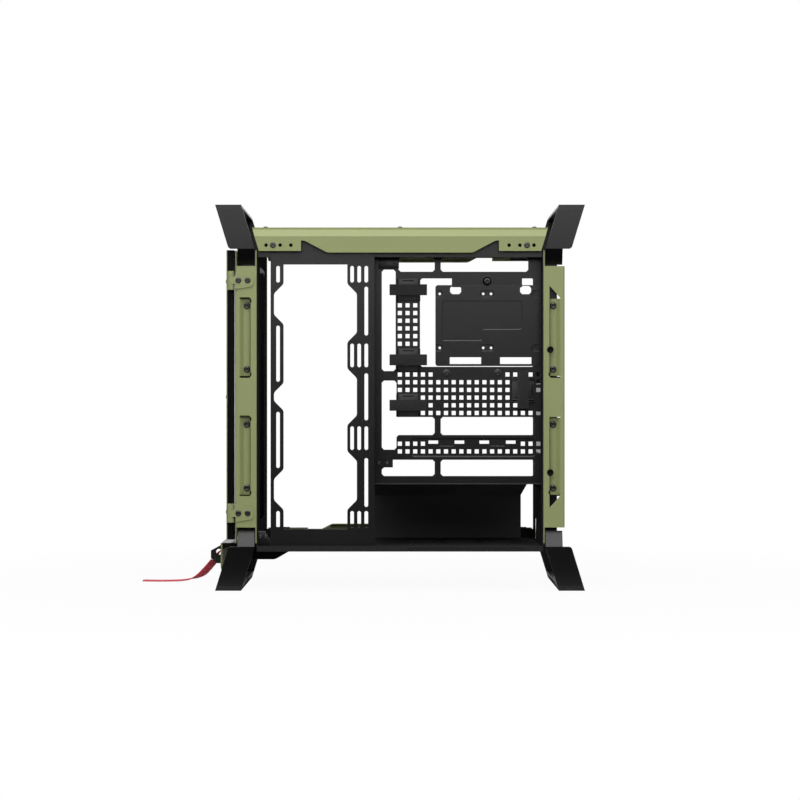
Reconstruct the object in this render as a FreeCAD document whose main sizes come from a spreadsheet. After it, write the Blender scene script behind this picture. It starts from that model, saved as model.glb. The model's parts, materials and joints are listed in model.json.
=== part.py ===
import FreeCAD, Part
import math
import os
import Sketcher
from FreeCAD import Placement, Rotation, Vector

# An open mid-tower computer case in a roll cage, with its side panels off.
# +X runs to the rear, +Y to the left side of the case and +Z up. The origin lies on the
# ground under the middle of the cage. All lengths are in millimetres.

SIZES = [
    # The cage and its overall size
    ("case_length", 520.6, "front of the front ears to rear of the rear ears"),
    ("case_width", 240.0, "across the cage plates"),
    ("case_height", 543.4, "ground to the top of the handles"),
    ("mid_drop", 4.5, "middle of columns, hinges and fan rails below the middle of the chassis"),
    ("cage_gauge", 4.0, "thickness of a cage plate"),
    ("cage_lean", 0.306, "outward lean of ears and feet, run over rise"),
    ("ear_width", 36.6, "an ear along the case"),
    ("ear_drop", 62.0, "ear below the top of the handles"),
    ("foot_rise", 62.0, "foot ear above the ground"),
    ("ear_round", 5.0, "rounding of an ear's outer corner"),
    ("joggle_drop", 22.0, "height of the bend between ear and post"),
    ("post_inset", 9.0, "post behind the ear's outer face"),
    ("post_gap", 3.0, "post beyond the end of the chassis"),
    ("post_width", 16.5, "post along the case"),
    ("neck_width", 24.0, "bend between ear and post along the case"),
    ("cap_thickness", 4.5, "handle bar's top strip"),
    ("lip_height", 26.0, "handle bar's outer lip below its top strip"),
    ("pad_thickness", 6.0, "rubber foot strip"),
    ("foot_bar_thickness", 4.0, "strip that joins two feet"),
    # The chassis
    ("chassis_length", 404.0, "between the outer faces of front frame and rear panel"),
    ("sheet", 1.2, "black sheet metal"),
    ("floor_level", 55.0, "underside of the floor pan"),
    ("pan_rise", 5.0, "floor sheet above the lower edge of the walls"),
    ("roof_drop", 43.4, "top of the roof panel below the top of the handles"),
    ("rail_inset", 8.0, "roof flange behind the cage's outer face"),
    ("wall_inset", 3.2, "front frame and rear panel inside the cage's outer face"),
    ("roof_flange", 30.0, "roof's right flange below the roof"),
    ("far_flange", 16.0, "roof's left flange below the roof"),
    ("near_lip_inset", 2.0, "floor's right lip behind the cage's outer face"),
    ("near_lip", 8.0, "height of the floor's right lip"),
    ("far_lip", 19.0, "height of the floor's left lip"),
    ("fan_window", 124.0, "width of the fan windows in roof and front frame"),
    ("front_window_margin", 40.0, "front frame above and below its fan window"),
    ("roof_window_start", -140.0, "front end of the roof's fan window"),
    ("roof_window_end", 178.0, "rear end of the roof's fan window"),
    ("rail_slot_offset", 72.5, "fan screw slots from the middle of a fan window"),
    ("rail_slot_length", 40.0, "a fan screw slot"),
    ("rail_slot_width", 5.0, "a fan screw slot"),
    ("rail_slot_pitch", 60.0, "fan screw slots along a rail"),
    ("vent_start", 14.0, "front end of the floor vent"),
    ("vent_slot_length", 44.0, "a vent slot"),
    ("vent_slot_width", 6.0, "a vent slot"),
    ("vent_pitch_along", 54.0, "vent slots along the case"),
    ("vent_pitch_across", 12.0, "vent slots across the case"),
    # The rear panel
    ("io_start", -85.0, "right edge of the connector cut-out"),
    ("io_width", 44.5, "connector cut-out across the case"),
    ("io_drop", 200.0, "lower edge of the connector cut-out below the roof"),
    ("io_height", 159.0, "connector cut-out"),
    ("fan_offset", 38.0, "rear fan from the middle of the case"),
    ("fan_drop", 108.0, "rear fan's axis below the roof"),
    ("fan_bore", 58.0, "radius of the rear fan's hole"),
    ("fan_holes", 105.0, "spacing of the rear fan's screw holes"),
    ("fan_hole_radius", 2.2, "rear fan's screw hole"),
    ("slot_top", 283.0, "axis of the highest expansion slot"),
    ("slot_pitch", 20.32, "expansion slots"),
    ("slot_height", 13.0, "an expansion slot's opening"),
    ("slot_start", -84.0, "right end of the expansion slots"),
    ("cover_overlap", 2.0, "slot cover past the right end of its opening"),
    ("cover_height", 18.4, "a slot cover"),
    ("cover_length", 120.0, "a slot cover"),
    ("cover_tab", 12.0, "a slot cover's bent end"),
    ("cover_clearance", 0.1, "slot cover's bent end in its slot and to the ledge that it is screwed to"),
    ("cover_screw_radius", 3.5, "a slot cover screw's head"),
    ("supply_width", 136.0, "power supply's cut-out"),
    ("supply_height", 78.0, "power supply's cut-out"),
    ("supply_bottom", 63.0, "lower edge of the power supply's cut-out"),
    # The motherboard tray and what is on it
    ("tray_inset", 28.0, "tray's right face behind the cage's outer face"),
    ("tray_start", -38.0, "front edge of the tray"),
    ("shroud_level", 150.0, "top of the power-supply shroud"),
    ("arm_start", -25.8, "front edge of the cable openings"),
    ("strip_start", -5.0, "front edge of the perforated strip"),
    ("strip_end", 28.4, "rear edge of the perforated strip"),
    ("post_start", 49.2, "front edge of the tray's middle post"),
    ("post_end", 57.8, "rear edge of the tray's middle post"),
    ("opening_end", 190.5, "rear edge of the cable openings"),
    ("top_opening_end", 182.0, "rear edge of the upper cable opening"),
    ("upper_opening", 19.5, "height of the upper cable openings"),
    ("tray_bar", 9.5, "bar between the upper cable openings and the processor cut-out"),
    ("arm_drop", 12.4, "arm behind the drive plate below the processor cut-out's upper edge"),
    ("arm_front", 73.6, "front end of the arm behind the drive plate"),
    ("arm_rear", 173.3, "rear end of the arm behind the drive plate"),
    ("hook_end", -10.1, "rear end of the tray's corner tab"),
    ("hook_drop", 10.9, "height of the tray's corner tab"),
    ("tray_band_4", 315.6, "lower edge of the processor cut-out"),
    ("tray_band_5", 309.6, "lower edge of the front cable opening"),
    ("tray_band_6", 296.0, "upper edge of the middle front opening"),
    ("tray_band_7", 244.3, "lower edge of the perforated panel"),
    ("tray_band_8", 218.8, "upper edge of the lower rail"),
    ("tray_band_9", 198.0, "lower edge of the middle front opening"),
    ("tray_band_10", 183.6, "lower edge of the lower rail"),
    ("tray_band_11", 160.6, "lower edge of the lowest openings"),
    ("tray_round", 3.0, "cut corners of the tray's openings"),
    ("perf_pitch", 10.915, "square holes"),
    ("perf_size", 5.8, "a square hole"),
    ("perf_start", -0.2, "axis of the first column of square holes"),
    ("perf_level", 271.9, "axis of the row of square holes that the others are counted from"),
    ("rail_slot_rise", 4.5, "height of the lower rail's slots"),
    ("rail_slot_run", 13.6, "length of the lower rail's slots"),
    ("drive_start", 50.2, "front edge of the drive plate"),
    ("drive_end", 197.1, "rear edge of the drive plate"),
    ("drive_bottom", 316.6, "lower edge of the drive plate"),
    ("drive_top", 431.5, "upper edge of the drive plate"),
    ("drive_round", 2.5, "cut corners of the drive plate"),
    ("drive_tab", 13.5, "tab above the drive plate"),
    ("drive_tab_width", 16.0, "tab above the drive plate"),
    ("drive_row_low", 342.5, "lower drive screws"),
    ("drive_row_high", 419.1, "upper drive screws"),
    ("drive_pair", 61.72, "screws across a small drive"),
    ("drive_gap", 11.1, "between the screws of the two drives"),
    ("drive_hole", 1.8, "radius of a drive screw's hole"),
    ("notch_width", 15.6, "notch in the drive plate's upper edge"),
    ("notch_depth", 12.8, "notch in the drive plate's upper edge"),
    ("notch_spread", 99.3, "between the notches' axes"),
    ("notch_shift", 4.9, "notches and slots behind the middle of the drive plate"),
    ("drive_slot_width", 44.5, "slot near the drive plate's lower edge"),
    ("drive_slot_height", 9.5, "slot near the drive plate's lower edge"),
    ("drive_slot_rise", 3.0, "slot above the drive plate's lower edge"),
    ("drive_slot_spread", 71.3, "between the slots' axes"),
    ("tray_screw_head", 4.6, "radius of the drive plate's thumb screw"),
    ("tray_screw_height", 5.0, "drive plate's thumb screw"),
    ("base_length", 34.3, "a strap base along the strap"),
    ("base_width", 32.0, "a strap base across the strap"),
    ("base_height", 4.0, "a strap base"),
    ("strap_length", 53.2, "a cable strap"),
    ("strap_width", 15.6, "a cable strap"),
    ("strap_thickness", 2.4, "a cable strap"),
    # The power-supply shroud and filter
    ("shroud_start", -45.0, "front edge of the shroud"),
    ("shroud_gap", 12.0, "shroud's left wall to the floor's left lip"),
    ("shroud_chamfer", 24.0, "shroud's sloping edge"),
    ("shroud_end", 181.0, "rear edge of the shroud's left wall"),
    ("filter_start", 12.0, "front edge of the dust filter"),
    ("filter_length", 164.0, "dust filter along the case"),
    ("filter_far_gap", 40.0, "left edge of the dust filter to the floor's left lip"),
    ("filter_height", 2.8, "dust filter"),
    ("filter_rim", 8.0, "dust filter's rim"),
    ("filter_gap", 0.4, "dust filter to its runners"),
    ("runner_width", 2.0, "a filter runner's leg"),
    ("runner_lip", 3.0, "a filter runner's lip under the filter"),
    ("runner_lip_height", 1.0, "a filter runner's lip"),
    # The side fan bracket
    ("bracket_start", -182.5, "front edge of the fan bracket"),
    ("bracket_end", -36.0, "rear edge of the fan bracket"),
    ("bracket_gap", 0.2, "fan bracket below the beam"),
    ("bracket_bar", 16.3, "fan bracket's upper bar"),
    ("front_strip", 4.8, "narrow part of the bracket's front rail"),
    ("front_tab", 18.3, "wide part of the bracket's front rail"),
    ("rear_strip", 24.8, "narrow part of the bracket's rear rail"),
    ("rear_tab", 38.3, "wide part of the bracket's rear rail"),
    ("tab_round", 7.0, "corners of the bracket's wide parts"),
    ("end_tab", 27.3, "wide part at each end of a rail"),
    ("tab_slope", 13.6, "height of the slope beside a wide part"),
    ("front_mid_near", 5.8, "lower end of the front rail's middle part from the middle"),
    ("front_mid_far", 115.9, "upper end of the front rail's middle part from the middle"),
    ("rear_mid_near", 26.2, "lower end of the rear rail's middle part from the middle"),
    ("rear_mid_far", 90.5, "upper end of the rear rail's middle part from the middle"),
    ("fan_slot", 5.1, "width of a fan slot"),
    ("fan_slot_cut", 1.6, "cut corners of a fan slot"),
    ("fan_slot_end", 2.0, "fan slot to the end of its wide part"),
    ("front_slot_inset", 8.0, "front rail's slots from its edge"),
    ("rear_slot_inset", 8.4, "rear rail's slots from its edge"),
    ("rear_slot_pitch", 10.0, "slots across the rear rail"),
    # The green covers
    ("skin", 1.5, "green sheet metal"),
    ("skin_inset", 1.5, "column's face behind the cage's outer face"),
    ("column_width", 30.0, "a column along the case"),
    ("column_depth", 20.5, "a column's flanges"),
    ("column_gap", 3.7, "column's flanges to the ears and feet"),
    ("column_neck", 22.0, "column's flanges beyond its face"),
    ("column_round", 3.0, "a column's outer edge"),
    ("pocket_start", 8.5, "pocket from the inner edge of its column"),
    ("pocket_width", 15.4, "a column's pocket"),
    ("pocket_flat", 10.0, "flat floor of a pocket"),
    ("pocket_near", 28.3, "inner end of a pocket from the middle"),
    ("pocket_end", 44.8, "outer end of a pocket from the end of its column's face"),
    ("pocket_slant", 17.0, "slope of a rear pocket's outer end"),
    ("pocket_slit", 1.0, "slit beside a pocket's floor"),
    ("button_start", 13.8, "button screws from the inner edge of their column"),
    ("button_near", 38.8, "inner button screws from the middle"),
    ("button_inset", 10.8, "outer button screws from the outer end of their pocket"),
    ("button_radius", 4.75, "a button screw's head"),
    ("button_height", 2.6, "a button screw's head"),
    ("catch_radius", 4.7, "a panel catch"),
    ("catch_height", 1.0, "a panel catch's head"),
    ("catch_start", 9.6, "panel catches from the inner edge of their column"),
    ("catch_high", 66.4, "upper panel catch above the middle"),
    ("catch_low", 106.7, "lower panel catch below the middle"),
    ("beam_drop", 24.0, "beam's lower edge below the roof"),
    ("beam_face", 23.0, "beam's upright face"),
    ("beam_bevel", 10.0, "beam's sloping edge"),
    ("beam_lip", 3.0, "beam's upper lip"),
    ("beam_shelf", 30.0, "beam's flat top"),
    ("beam_reach", 209.0, "end of the beam's flat top from the middle"),
    ("beam_plate", 2.2, "beam's end plates above its lower edge"),
    ("beam_notch", 139.3, "end of the beam's end plates from the middle"),
    ("beam_notch_width", 4.3, "notch beside a beam's end plate"),
    ("beam_notch_rise", 17.0, "notch beside a beam's end plate"),
    ("beam_sweep", 32.3, "curve beside a beam's notch"),
    ("beam_sweep_round", 13.0, "rounding of the curve beside a beam's notch"),
    ("sill_plate", 6.0, "sill's end plates below its upper edge"),
    ("sill_rise", 2.5, "sill's upper edge above the place that mirrors the beam's"),
    ("beam_screw_start", 178.7, "beam screws from the middle"),
    ("beam_screw_drop", 13.6, "beam screws below the roof"),
    ("beam_screw_radius", 4.2, "a beam screw's head"),
    ("beam_screw_height", 1.2, "a beam screw's head"),
    ("beam_block_length", 24.0, "a beam's bracket"),
    ("beam_block_height", 16.0, "a beam's bracket"),
    ("stud_radius", 3.0, "a stud on a beam"),
    ("stud_height", 1.6, "a stud on a beam"),
    ("stud_spread", 190.0, "end studs from the middle"),
    ("stud_inset", 16.0, "studs behind the cage's outer face"),
    # The front door and its hinges
    ("door_thickness", 11.0, "door with its frame"),
    ("door_gap", 2.0, "door to the columns"),
    ("door_bottom", 71.5, "lower edge of the door"),
    ("door_drop", 20.0, "upper edge of the door below the roof"),
    ("door_near", 10.5, "hinged edge of the door behind the cage's outer face"),
    ("door_far", 10.0, "free edge of the door behind the cage's outer face"),
    ("door_skin", 1.2, "door's green skin"),
    ("door_wall", 2.0, "door frame's walls"),
    ("door_ledge", 1.6, "door frame's ledge around its window"),
    ("door_margin", 26.0, "door around its window"),
    ("door_round", 12.0, "corners of the door's window"),
    ("mesh_thickness", 1.0, "door and top mesh"),
    ("mesh_overlap", 8.0, "mesh behind the edge of its window"),
    ("door_screw_radius", 3.0, "a door screw's head"),
    ("door_screw_height", 1.4, "a door screw's head"),
    ("door_screw_inset", 9.0, "door screws from the door's edge"),
    ("door_screw_spread", 163.0, "outer door screws from the middle"),
    ("hinge_inset", 20.1, "hinges from the end of their column's face"),
    ("hinge_axis", 5.8, "hinge axis in front of the columns"),
    ("knuckle_radius", 4.2, "a hinge's barrel"),
    ("knuckle_height", 26.4, "a hinge's barrel"),
    ("knuckle_middle", 10.4, "middle part of a hinge's barrel"),
    ("knuckle_gap", 0.2, "between the parts of a hinge's barrel"),
    ("knuckle_neck", 6.0, "block that carries a door knuckle"),
    ("pin_radius", 2.0, "a hinge pin"),
    ("pin_gap", 0.05, "a hinge pin in its barrel"),
    ("leaf_thickness", 1.5, "a hinge's leaf"),
    ("leaf_length", 25.4, "leaf on the column"),
    ("leaf_start", 0.6, "leaf from the column's outer edge"),
    ("leaf_height", 25.2, "leaf on the column at its barrel"),
    ("leaf_taper", 18.0, "leaf on the column at its end"),
    ("leaf_round", 3.5, "cut corners of the leaf on the column"),
    ("leaf_screw_start", 4.6, "first hinge screw from the column's outer edge"),
    ("leaf_screw_pitch", 13.0, "hinge screws"),
    ("leaf_screw_radius", 4.2, "a hinge screw's head"),
    ("leaf_screw_height", 1.4, "a hinge screw's head"),
    # The front end below the door
    ("bumper_face", 257.0, "bumper's front face from the middle"),
    ("bumper_thickness", 2.4, "bumper"),
    ("bumper_width", 124.0, "bumper across the case"),
    ("bumper_bottom", 25.0, "bumper's lower edge"),
    ("bumper_top", 63.0, "bumper's upper edge"),
    ("bumper_round", 12.0, "bumper's lower corners"),
    ("bumper_bracket_width", 100.0, "bumper's bracket"),
    ("bumper_bracket_height", 7.0, "bumper's bracket"),
    ("skid_width", 120.0, "skid plate"),
    ("skid_drop", 15.0, "skid plate below the walls' lower edge"),
    ("skid_gauge", 2.0, "skid plate"),
    ("skid_flat", 22.0, "flat part of the skid plate"),
    ("skid_length", 48.0, "skid plate behind the front frame"),
    ("skid_reach", 10.0, "skid plate in front of the front frame"),
    ("eye_length", 22.4, "tow eye in front of the bumper"),
    ("eye_thickness", 10.0, "tow eye"),
    ("eye_offset", 44.0, "tow eye from the middle of the case"),
    ("eye_bottom", 27.2, "tow eye's lower edge"),
    ("eye_height", 31.0, "tow eye at the bumper"),
    ("eye_nose_rise", 7.7, "tow eye's nose above its lower edge"),
    ("eye_nose_height", 11.1, "tow eye's nose"),
    ("eye_nose_run", 9.4, "slope under the tow eye's nose"),
    ("eye_hole", 4.5, "radius of the tow eye's hole"),
    ("eye_hole_start", 10.6, "tow eye's hole from the bumper"),
    ("eye_hole_level", 43.9, "tow eye's hole above the ground"),
    ("strap_web_width", 18.0, "webbing strap"),
    ("strap_web_gauge", 1.6, "webbing strap"),
    # The top panel
    ("panel_start", -197.0, "front edge of the top panel"),
    ("panel_length", 40.0, "top panel along the case"),
    ("panel_side_gap", 2.0, "top panel to the beams"),
    ("panel_height", 12.0, "top panel above the roof"),
    ("panel_wall", 2.0, "top panel's walls"),
    ("power_offset", -44.0, "power button from the middle of the case"),
    ("power_radius", 7.5, "power button"),
    ("reset_offset", -18.0, "reset button from the middle of the case"),
    ("reset_radius", 4.0, "reset button"),
    ("button_gap", 0.3, "a button in its hole and under its panel"),
    ("button_rise", 1.4, "a button above its panel"),
    ("button_flange", 1.5, "a button's rim"),
    ("button_depth", 2.4, "a button's rim"),
    ("button_travel", 1.4, "how far a button goes in"),
    ("port_gap", 0.1, "a port in its cut-out"),
    ("port_depth", 8.0, "a port's shell"),
    ("port_wall", 0.8, "a port's shell"),
    ("usb_length", 13.2, "a wide port"),
    ("usb_width", 6.0, "a wide port"),
    ("usb_offset", 8.0, "first wide port from the middle of the case"),
    ("port_pitch", 17.0, "ports across the panel"),
    ("slim_length", 9.6, "the slim port"),
    ("slim_width", 4.0, "the slim port"),
    ("jack_radius", 3.6, "the audio socket"),
    ("jack_bore", 1.8, "the audio socket's hole"),
    ("top_mesh_start", -150.0, "front edge of the top mesh"),
    ("top_mesh_overlap", 5.0, "top mesh under the beams"),
    ("top_mesh_gap", 0.2, "top mesh below the beams"),
]

# The webbing strap's route in the plane of its tow eye, x and z, from the eye to its free end
STRAP_ROUTE = [
    (-274.9, 30.8), (-283.1, 20.8), (-292, 11.5), (-304, 5),
    (-320, 1.8), (-340, 1.2), (-360, 1.05), (-380, 1.5),
]

# A bend of the strap takes up this share of the shorter run beside it
BEND_SHARE = 0.45

# The tray's square holes row by row from the top, and how many rows lie above the one that the others
# are counted from
PERFORATION = [
    "ooo", "ooo", "ooo", "ooo", "ooo", "ooo", "", "", "",
    "ooooo.........oo.oo",
    "ooooooooooooooo...o",
    "ooooooooooooooo...o",
    "...oooooooooooo",
    "....o.oooooooooo",
    "...oooooooooooooooo",
    "", "", "",
    "oooo............ooo",
    "ooooooooooooooooooo",
]
ROWS_ABOVE = 12

# The lower rail's slots: the row of square holes that they stand on, and the columns at which they start
RAIL_SLOT_ROW = -6
RAIL_SLOTS = [3.72, 7.12, 10.35, 13.8]

# Rows of square holes that cable straps on the strip lie along, and the column and row of the upright strap
STRAP_ROWS = [14, 4.9, -1]
UPRIGHT_STRAP = (16, 1)

# How many of each there are
FRONT_SLOTS = 6
ROOF_SLOTS = 5
EXPANSION_SLOTS = 7
VENT_ROWS = 8
VENT_COLUMNS = 3
FAN_SLOT_COLUMNS = 3

# At a bend of an eighth turn, the inner corner falls short of the outer one by this share of the sheet
MITRE = math.tan(math.pi / 8)

# Sides of round details that are small enough to be many-sided instead
SCREW_SIDES = 8
BARREL_SIDES = 12
BUTTON_SIDES = 16

doc = FreeCAD.newDocument("computer_case")
nodes = []


class Size:
    """A length with its value and the sheet expression that gives it."""

    def __init__(self, text, value):
        self.text = text
        self.value = value

    def __add__(self, other):
        other = as_size(other)
        return Size(f"({self.text} + {other.text})", self.value + other.value)

    def __sub__(self, other):
        other = as_size(other)
        return Size(f"({self.text} - {other.text})", self.value - other.value)

    def __mul__(self, other):
        other = as_size(other)
        return Size(f"({self.text} * {other.text})", self.value * other.value)

    def __truediv__(self, other):
        other = as_size(other)
        return Size(f"({self.text} / {other.text})", self.value / other.value)

    def __radd__(self, other):
        return as_size(other) + self

    def __rsub__(self, other):
        return as_size(other) - self

    def __rmul__(self, other):
        return as_size(other) * self

    def __neg__(self):
        return Size(f"(0 - {self.text})", -self.value)


def as_size(number):
    """A plain number as a Size."""
    return number if isinstance(number, Size) else Size(f"({float(number)!r})", float(number))


class Sizes:
    """The driving sizes, each a row of the document's spreadsheet and an attribute here."""

    def __init__(self, rows):
        sheet = doc.addObject("Spreadsheet::Sheet", "sizes")
        for row, (alias, value, meaning) in enumerate(rows, 1):
            sheet.set(f"A{row}", meaning)
            sheet.set(f"B{row}", str(value))
            sheet.setAlias(f"B{row}", alias)
            setattr(self, alias, Size(f"sizes.{alias}", value))


S = Sizes(SIZES)
doc.recompute()

# Places that several pieces share
half_width = S.case_width / 2
half_length = S.chassis_length / 2
inner_length = half_length - S.sheet
rail_plane = half_width - S.rail_inset
wall_edge = half_width - S.wall_inset
reach = S.case_length / 2
floor_bottom = S.floor_level + S.pan_rise
floor_top = floor_bottom + S.sheet
roof_level = S.case_height - S.roof_drop
roof_bottom = roof_level - S.sheet
mid_level = (S.floor_level + roof_level) / 2 - S.mid_drop
ear_bottom = S.case_height - S.ear_drop
post_start = half_length + S.post_gap
skin_face = half_width - S.skin_inset
skin_back = skin_face - S.skin
post_face = half_width - S.post_inset
column_end = half_length + S.column_width
column_flange = (ear_bottom - S.foot_rise) / 2 - S.column_gap
column_web = column_flange - S.column_neck
pocket_far = column_web - S.pocket_end
hinge_spread = column_web - S.hinge_inset
tray_face = half_width - S.tray_inset
tray_back = tray_face - S.sheet
beam_bottom = roof_level - S.beam_drop
beam_top = beam_bottom + S.beam_face + S.beam_bevel + S.beam_lip
shelf_bottom = beam_top - S.skin
shelf_edge = half_width - S.beam_bevel - S.beam_shelf
door_back = column_end + S.door_gap
door_front = door_back + S.door_thickness
hinge_x = column_end + S.hinge_axis
hinge_y = half_width - S.knuckle_radius
door_near = half_width - S.door_near
door_far = half_width - S.door_far
door_top = roof_level - S.door_drop


def bind(item, path, size):
    """Ties one property of a document object to the sheet."""
    item.setExpression(path, as_size(size).text)


def between(first, second):
    """Two places as low and high."""
    first, second = as_size(first), as_size(second)
    return (first, second) if first.value < second.value else (second, first)


def block(name, x, y, z):
    """A box between two places on each axis."""
    box = doc.addObject("Part::Box", name)
    for side, axis, ends in zip(("Length", "Width", "Height"), "xyz", (x, y, z)):
        low, high = between(*ends)
        bind(box, side, high - low)
        bind(box, f"Placement.Base.{axis}", low)
    return box


TURNS = {
    "x": Rotation(Vector(0, 1, 0), 90),
    "y": Rotation(Vector(1, 0, 0), -90),
    "z": Rotation(),
}


def rod(name, axis, centre, radius, ends, sides=None):
    """A cylinder, or a prism where sides are given, about a centre on the other two axes in order."""
    kind, size = ("Part::Prism", "Circumradius") if sides else ("Part::Cylinder", "Radius")
    made = doc.addObject(kind, name)
    if sides:
        made.Polygon = sides
    made.Placement = Placement(Vector(), TURNS[axis])
    low, high = between(*ends)
    bind(made, size, radius)
    bind(made, "Height", high - low)
    bind(made, f"Placement.Base.{axis}", low)
    for other, place in zip("xyz".replace(axis, ""), centre):
        bind(made, f"Placement.Base.{other}", place)
    return made


def corner_points(corners):
    """Where an outline's lines reach and leave each corner, its rounding's centre and turn."""
    places = [Vector(x.value, y.value) for x, y, _ in corners]
    found = []
    for i, (place, (_, _, rounding)) in enumerate(zip(places, corners)):
        back = (places[i - 1] - place).normalize()
        ahead = (places[(i + 1) % len(places)] - place).normalize()
        if rounding is None:
            found.append((place, place, place, 0))
            continue
        half_angle = back.getAngle(ahead) / 2
        run = rounding.value / math.tan(half_angle)
        centre = place + (back + ahead).normalize() * (rounding.value / math.sin(half_angle))
        found.append((place + back * run, place + ahead * run, centre, ahead.cross(back).z))
    return found


def draw_outline(sketch, outline):
    """Draws a closed outline of corners (x, y) or (x, y, rounding), tied to the sheet."""
    corners = [tuple(map(as_size, c)) + (None,) * (3 - len(c)) for c in outline]
    points = corner_points(corners)
    count, first = len(corners), sketch.GeometryCount
    sketch.addGeometry(
        [Part.LineSegment(points[i][1], points[(i + 1) % count][0]) for i in range(count)], False
    )
    rules, ties = [], []

    def tie(kind, geometry, point, size):
        """A dimension of the sketch, bound to the sheet once it is in place."""
        where = (geometry, point) if point else (geometry,)
        rules.append(Sketcher.Constraint(kind, *where, size.value))
        ties.append((len(rules) - 1, size))

    for i, (x, y, rounding) in enumerate(corners):
        line, before = first + i, first + (i - 1) % count
        if rounding is None:
            rules.append(Sketcher.Constraint("Coincident", before, 2, line, 1))
            tie("DistanceX", line, 1, x)
            tie("DistanceY", line, 1, y)
            continue
        reached, left, centre, turn = points[i]
        # An arc of a sketch runs anticlockwise, whichever way its outline is drawn
        start, end = (1, 2) if turn > 0 else (2, 1)
        ends = (reached, left) if turn > 0 else (left, reached)
        angles = [math.atan2(p.y - centre.y, p.x - centre.x) for p in ends]
        circle = Part.Circle(centre, Vector(0, 0, 1), rounding.value)
        arc = sketch.addGeometry(Part.ArcOfCircle(circle, *angles), False)
        corner = sketch.addGeometry(Part.Point(Vector(x.value, y.value)), True)
        rules.append(Sketcher.Constraint("Tangent", before, 2, arc, start))
        rules.append(Sketcher.Constraint("Tangent", arc, end, line, 1))
        rules.append(Sketcher.Constraint("PointOnObject", corner, 1, before))
        rules.append(Sketcher.Constraint("PointOnObject", corner, 1, line))
        tie("DistanceX", corner, 1, x)
        tie("DistanceY", corner, 1, y)
        tie("Radius", arc, None, rounding)
    sketch.addConstraint(rules)
    for place, size in ties:
        sketch.setExpression(f"Constraints[{place}]", size.text)


# The axis across each plane
ACROSS = {"XY": "z", "XZ": "y", "YZ": "x"}


def pad_outline(name, plane, outline, ends):
    """A body padded from one closed outline between two places on the axis across its plane."""
    body = doc.addObject("PartDesign::Body", name)
    sketch = body.newObject("Sketcher::SketchObject", f"{name}_outline")
    support = next(f for f in body.Origin.OriginFeatures if f.Role == f"{plane}_Plane")
    sketch.AttachmentSupport = [(support, "")]
    sketch.MapMode = "FlatFace"
    low, high = between(*ends)
    # The XZ plane faces -Y, so its pads start at the high end
    bind(sketch, "AttachmentOffset.Base.z", -high if plane == "XZ" else low)
    draw_outline(sketch, outline)
    feature = body.newObject("PartDesign::Pad", f"{name}_pad")
    feature.Profile = sketch
    bind(feature, "Length", high - low)
    return body


def pad(name, plane, outlines, ends, circles=()):
    """A padded outline with outlines and circles (x, y, radius, optional sides) cut through it."""
    outer, *openings = outlines
    if not openings and not circles:
        return pad_outline(name, plane, outer, ends)
    low, high = between(*ends)
    through = (low - S.skin, high + S.skin)
    tools = [pad_outline(f"{name}_opening_{i}", plane, o, through) for i, o in enumerate(openings)]
    for i, (x, y, radius, *sides) in enumerate(circles):
        tools.append(rod(f"{name}_hole_{i}", ACROSS[plane], (x, y), radius, through, *sides))
    return cut(name, pad_outline(f"{name}_blank", plane, outer, ends), *tools)


def rectangle(x, y, corner=None):
    """The outline of a rectangle between two places on each axis; corner is for all its corners."""
    (left, right), (low, high) = between(*x), between(*y)
    corners = [(left, low), (right, low), (right, high), (left, high)]
    return [c if corner is None else (*c, corner) for c in corners]


def clip(outline):
    """An outline along the axes whose corners (x, y, size) are cut off straight, not rounded."""

    def towards(corner, other, size):
        """The point at that distance from a corner along the edge to another corner."""
        steps = [(b.value > a.value) - (b.value < a.value) for a, b in zip(corner, other)]
        return tuple(place + size * step if step else place for place, step in zip(corner, steps))

    places = [tuple(map(as_size, c[:2])) for c in outline]
    clipped = []
    for i, (place, corner) in enumerate(zip(places, outline)):
        if len(corner) == 2:
            clipped.append(place)
            continue
        clipped.append(towards(place, places[i - 1], corner[2]))
        clipped.append(towards(place, places[(i + 1) % len(places)], corner[2]))
    return clipped


def group(name, pieces):
    """Separate solids under one name."""
    made = doc.addObject("Part::Compound", name)
    made.Links = list(pieces)
    return made


def fuse(name, *pieces):
    """Pieces joined into one solid."""
    made = doc.addObject("Part::MultiFuse", name)
    made.Shapes = list(pieces)
    made.Refine = True
    return made


def cut(name, base, *tools):
    """A piece with tools cut out of it."""
    made = doc.addObject("Part::Cut", name)
    made.Base = base
    made.Tool = tools[0] if len(tools) == 1 else group(f"{name}_cuts", tools)
    return made


def common(name, first, second):
    """What two pieces share."""
    made = doc.addObject("Part::Common", name)
    made.Base, made.Tool = first, second
    return made


AXES = {"x": Vector(1, 0, 0), "y": Vector(0, 1, 0), "z": Vector(0, 0, 1)}


def mirror(name, source, axis):
    """A piece mirrored across the middle of the case along an axis."""
    made = doc.addObject("Part::Mirroring", name)
    made.Source = source
    made.Normal = AXES[axis]
    return made


def node(name, piece):
    """Names a finished piece, which is written to a file of that name."""
    piece.Label = name
    nodes.append(piece)
    return piece


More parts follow.
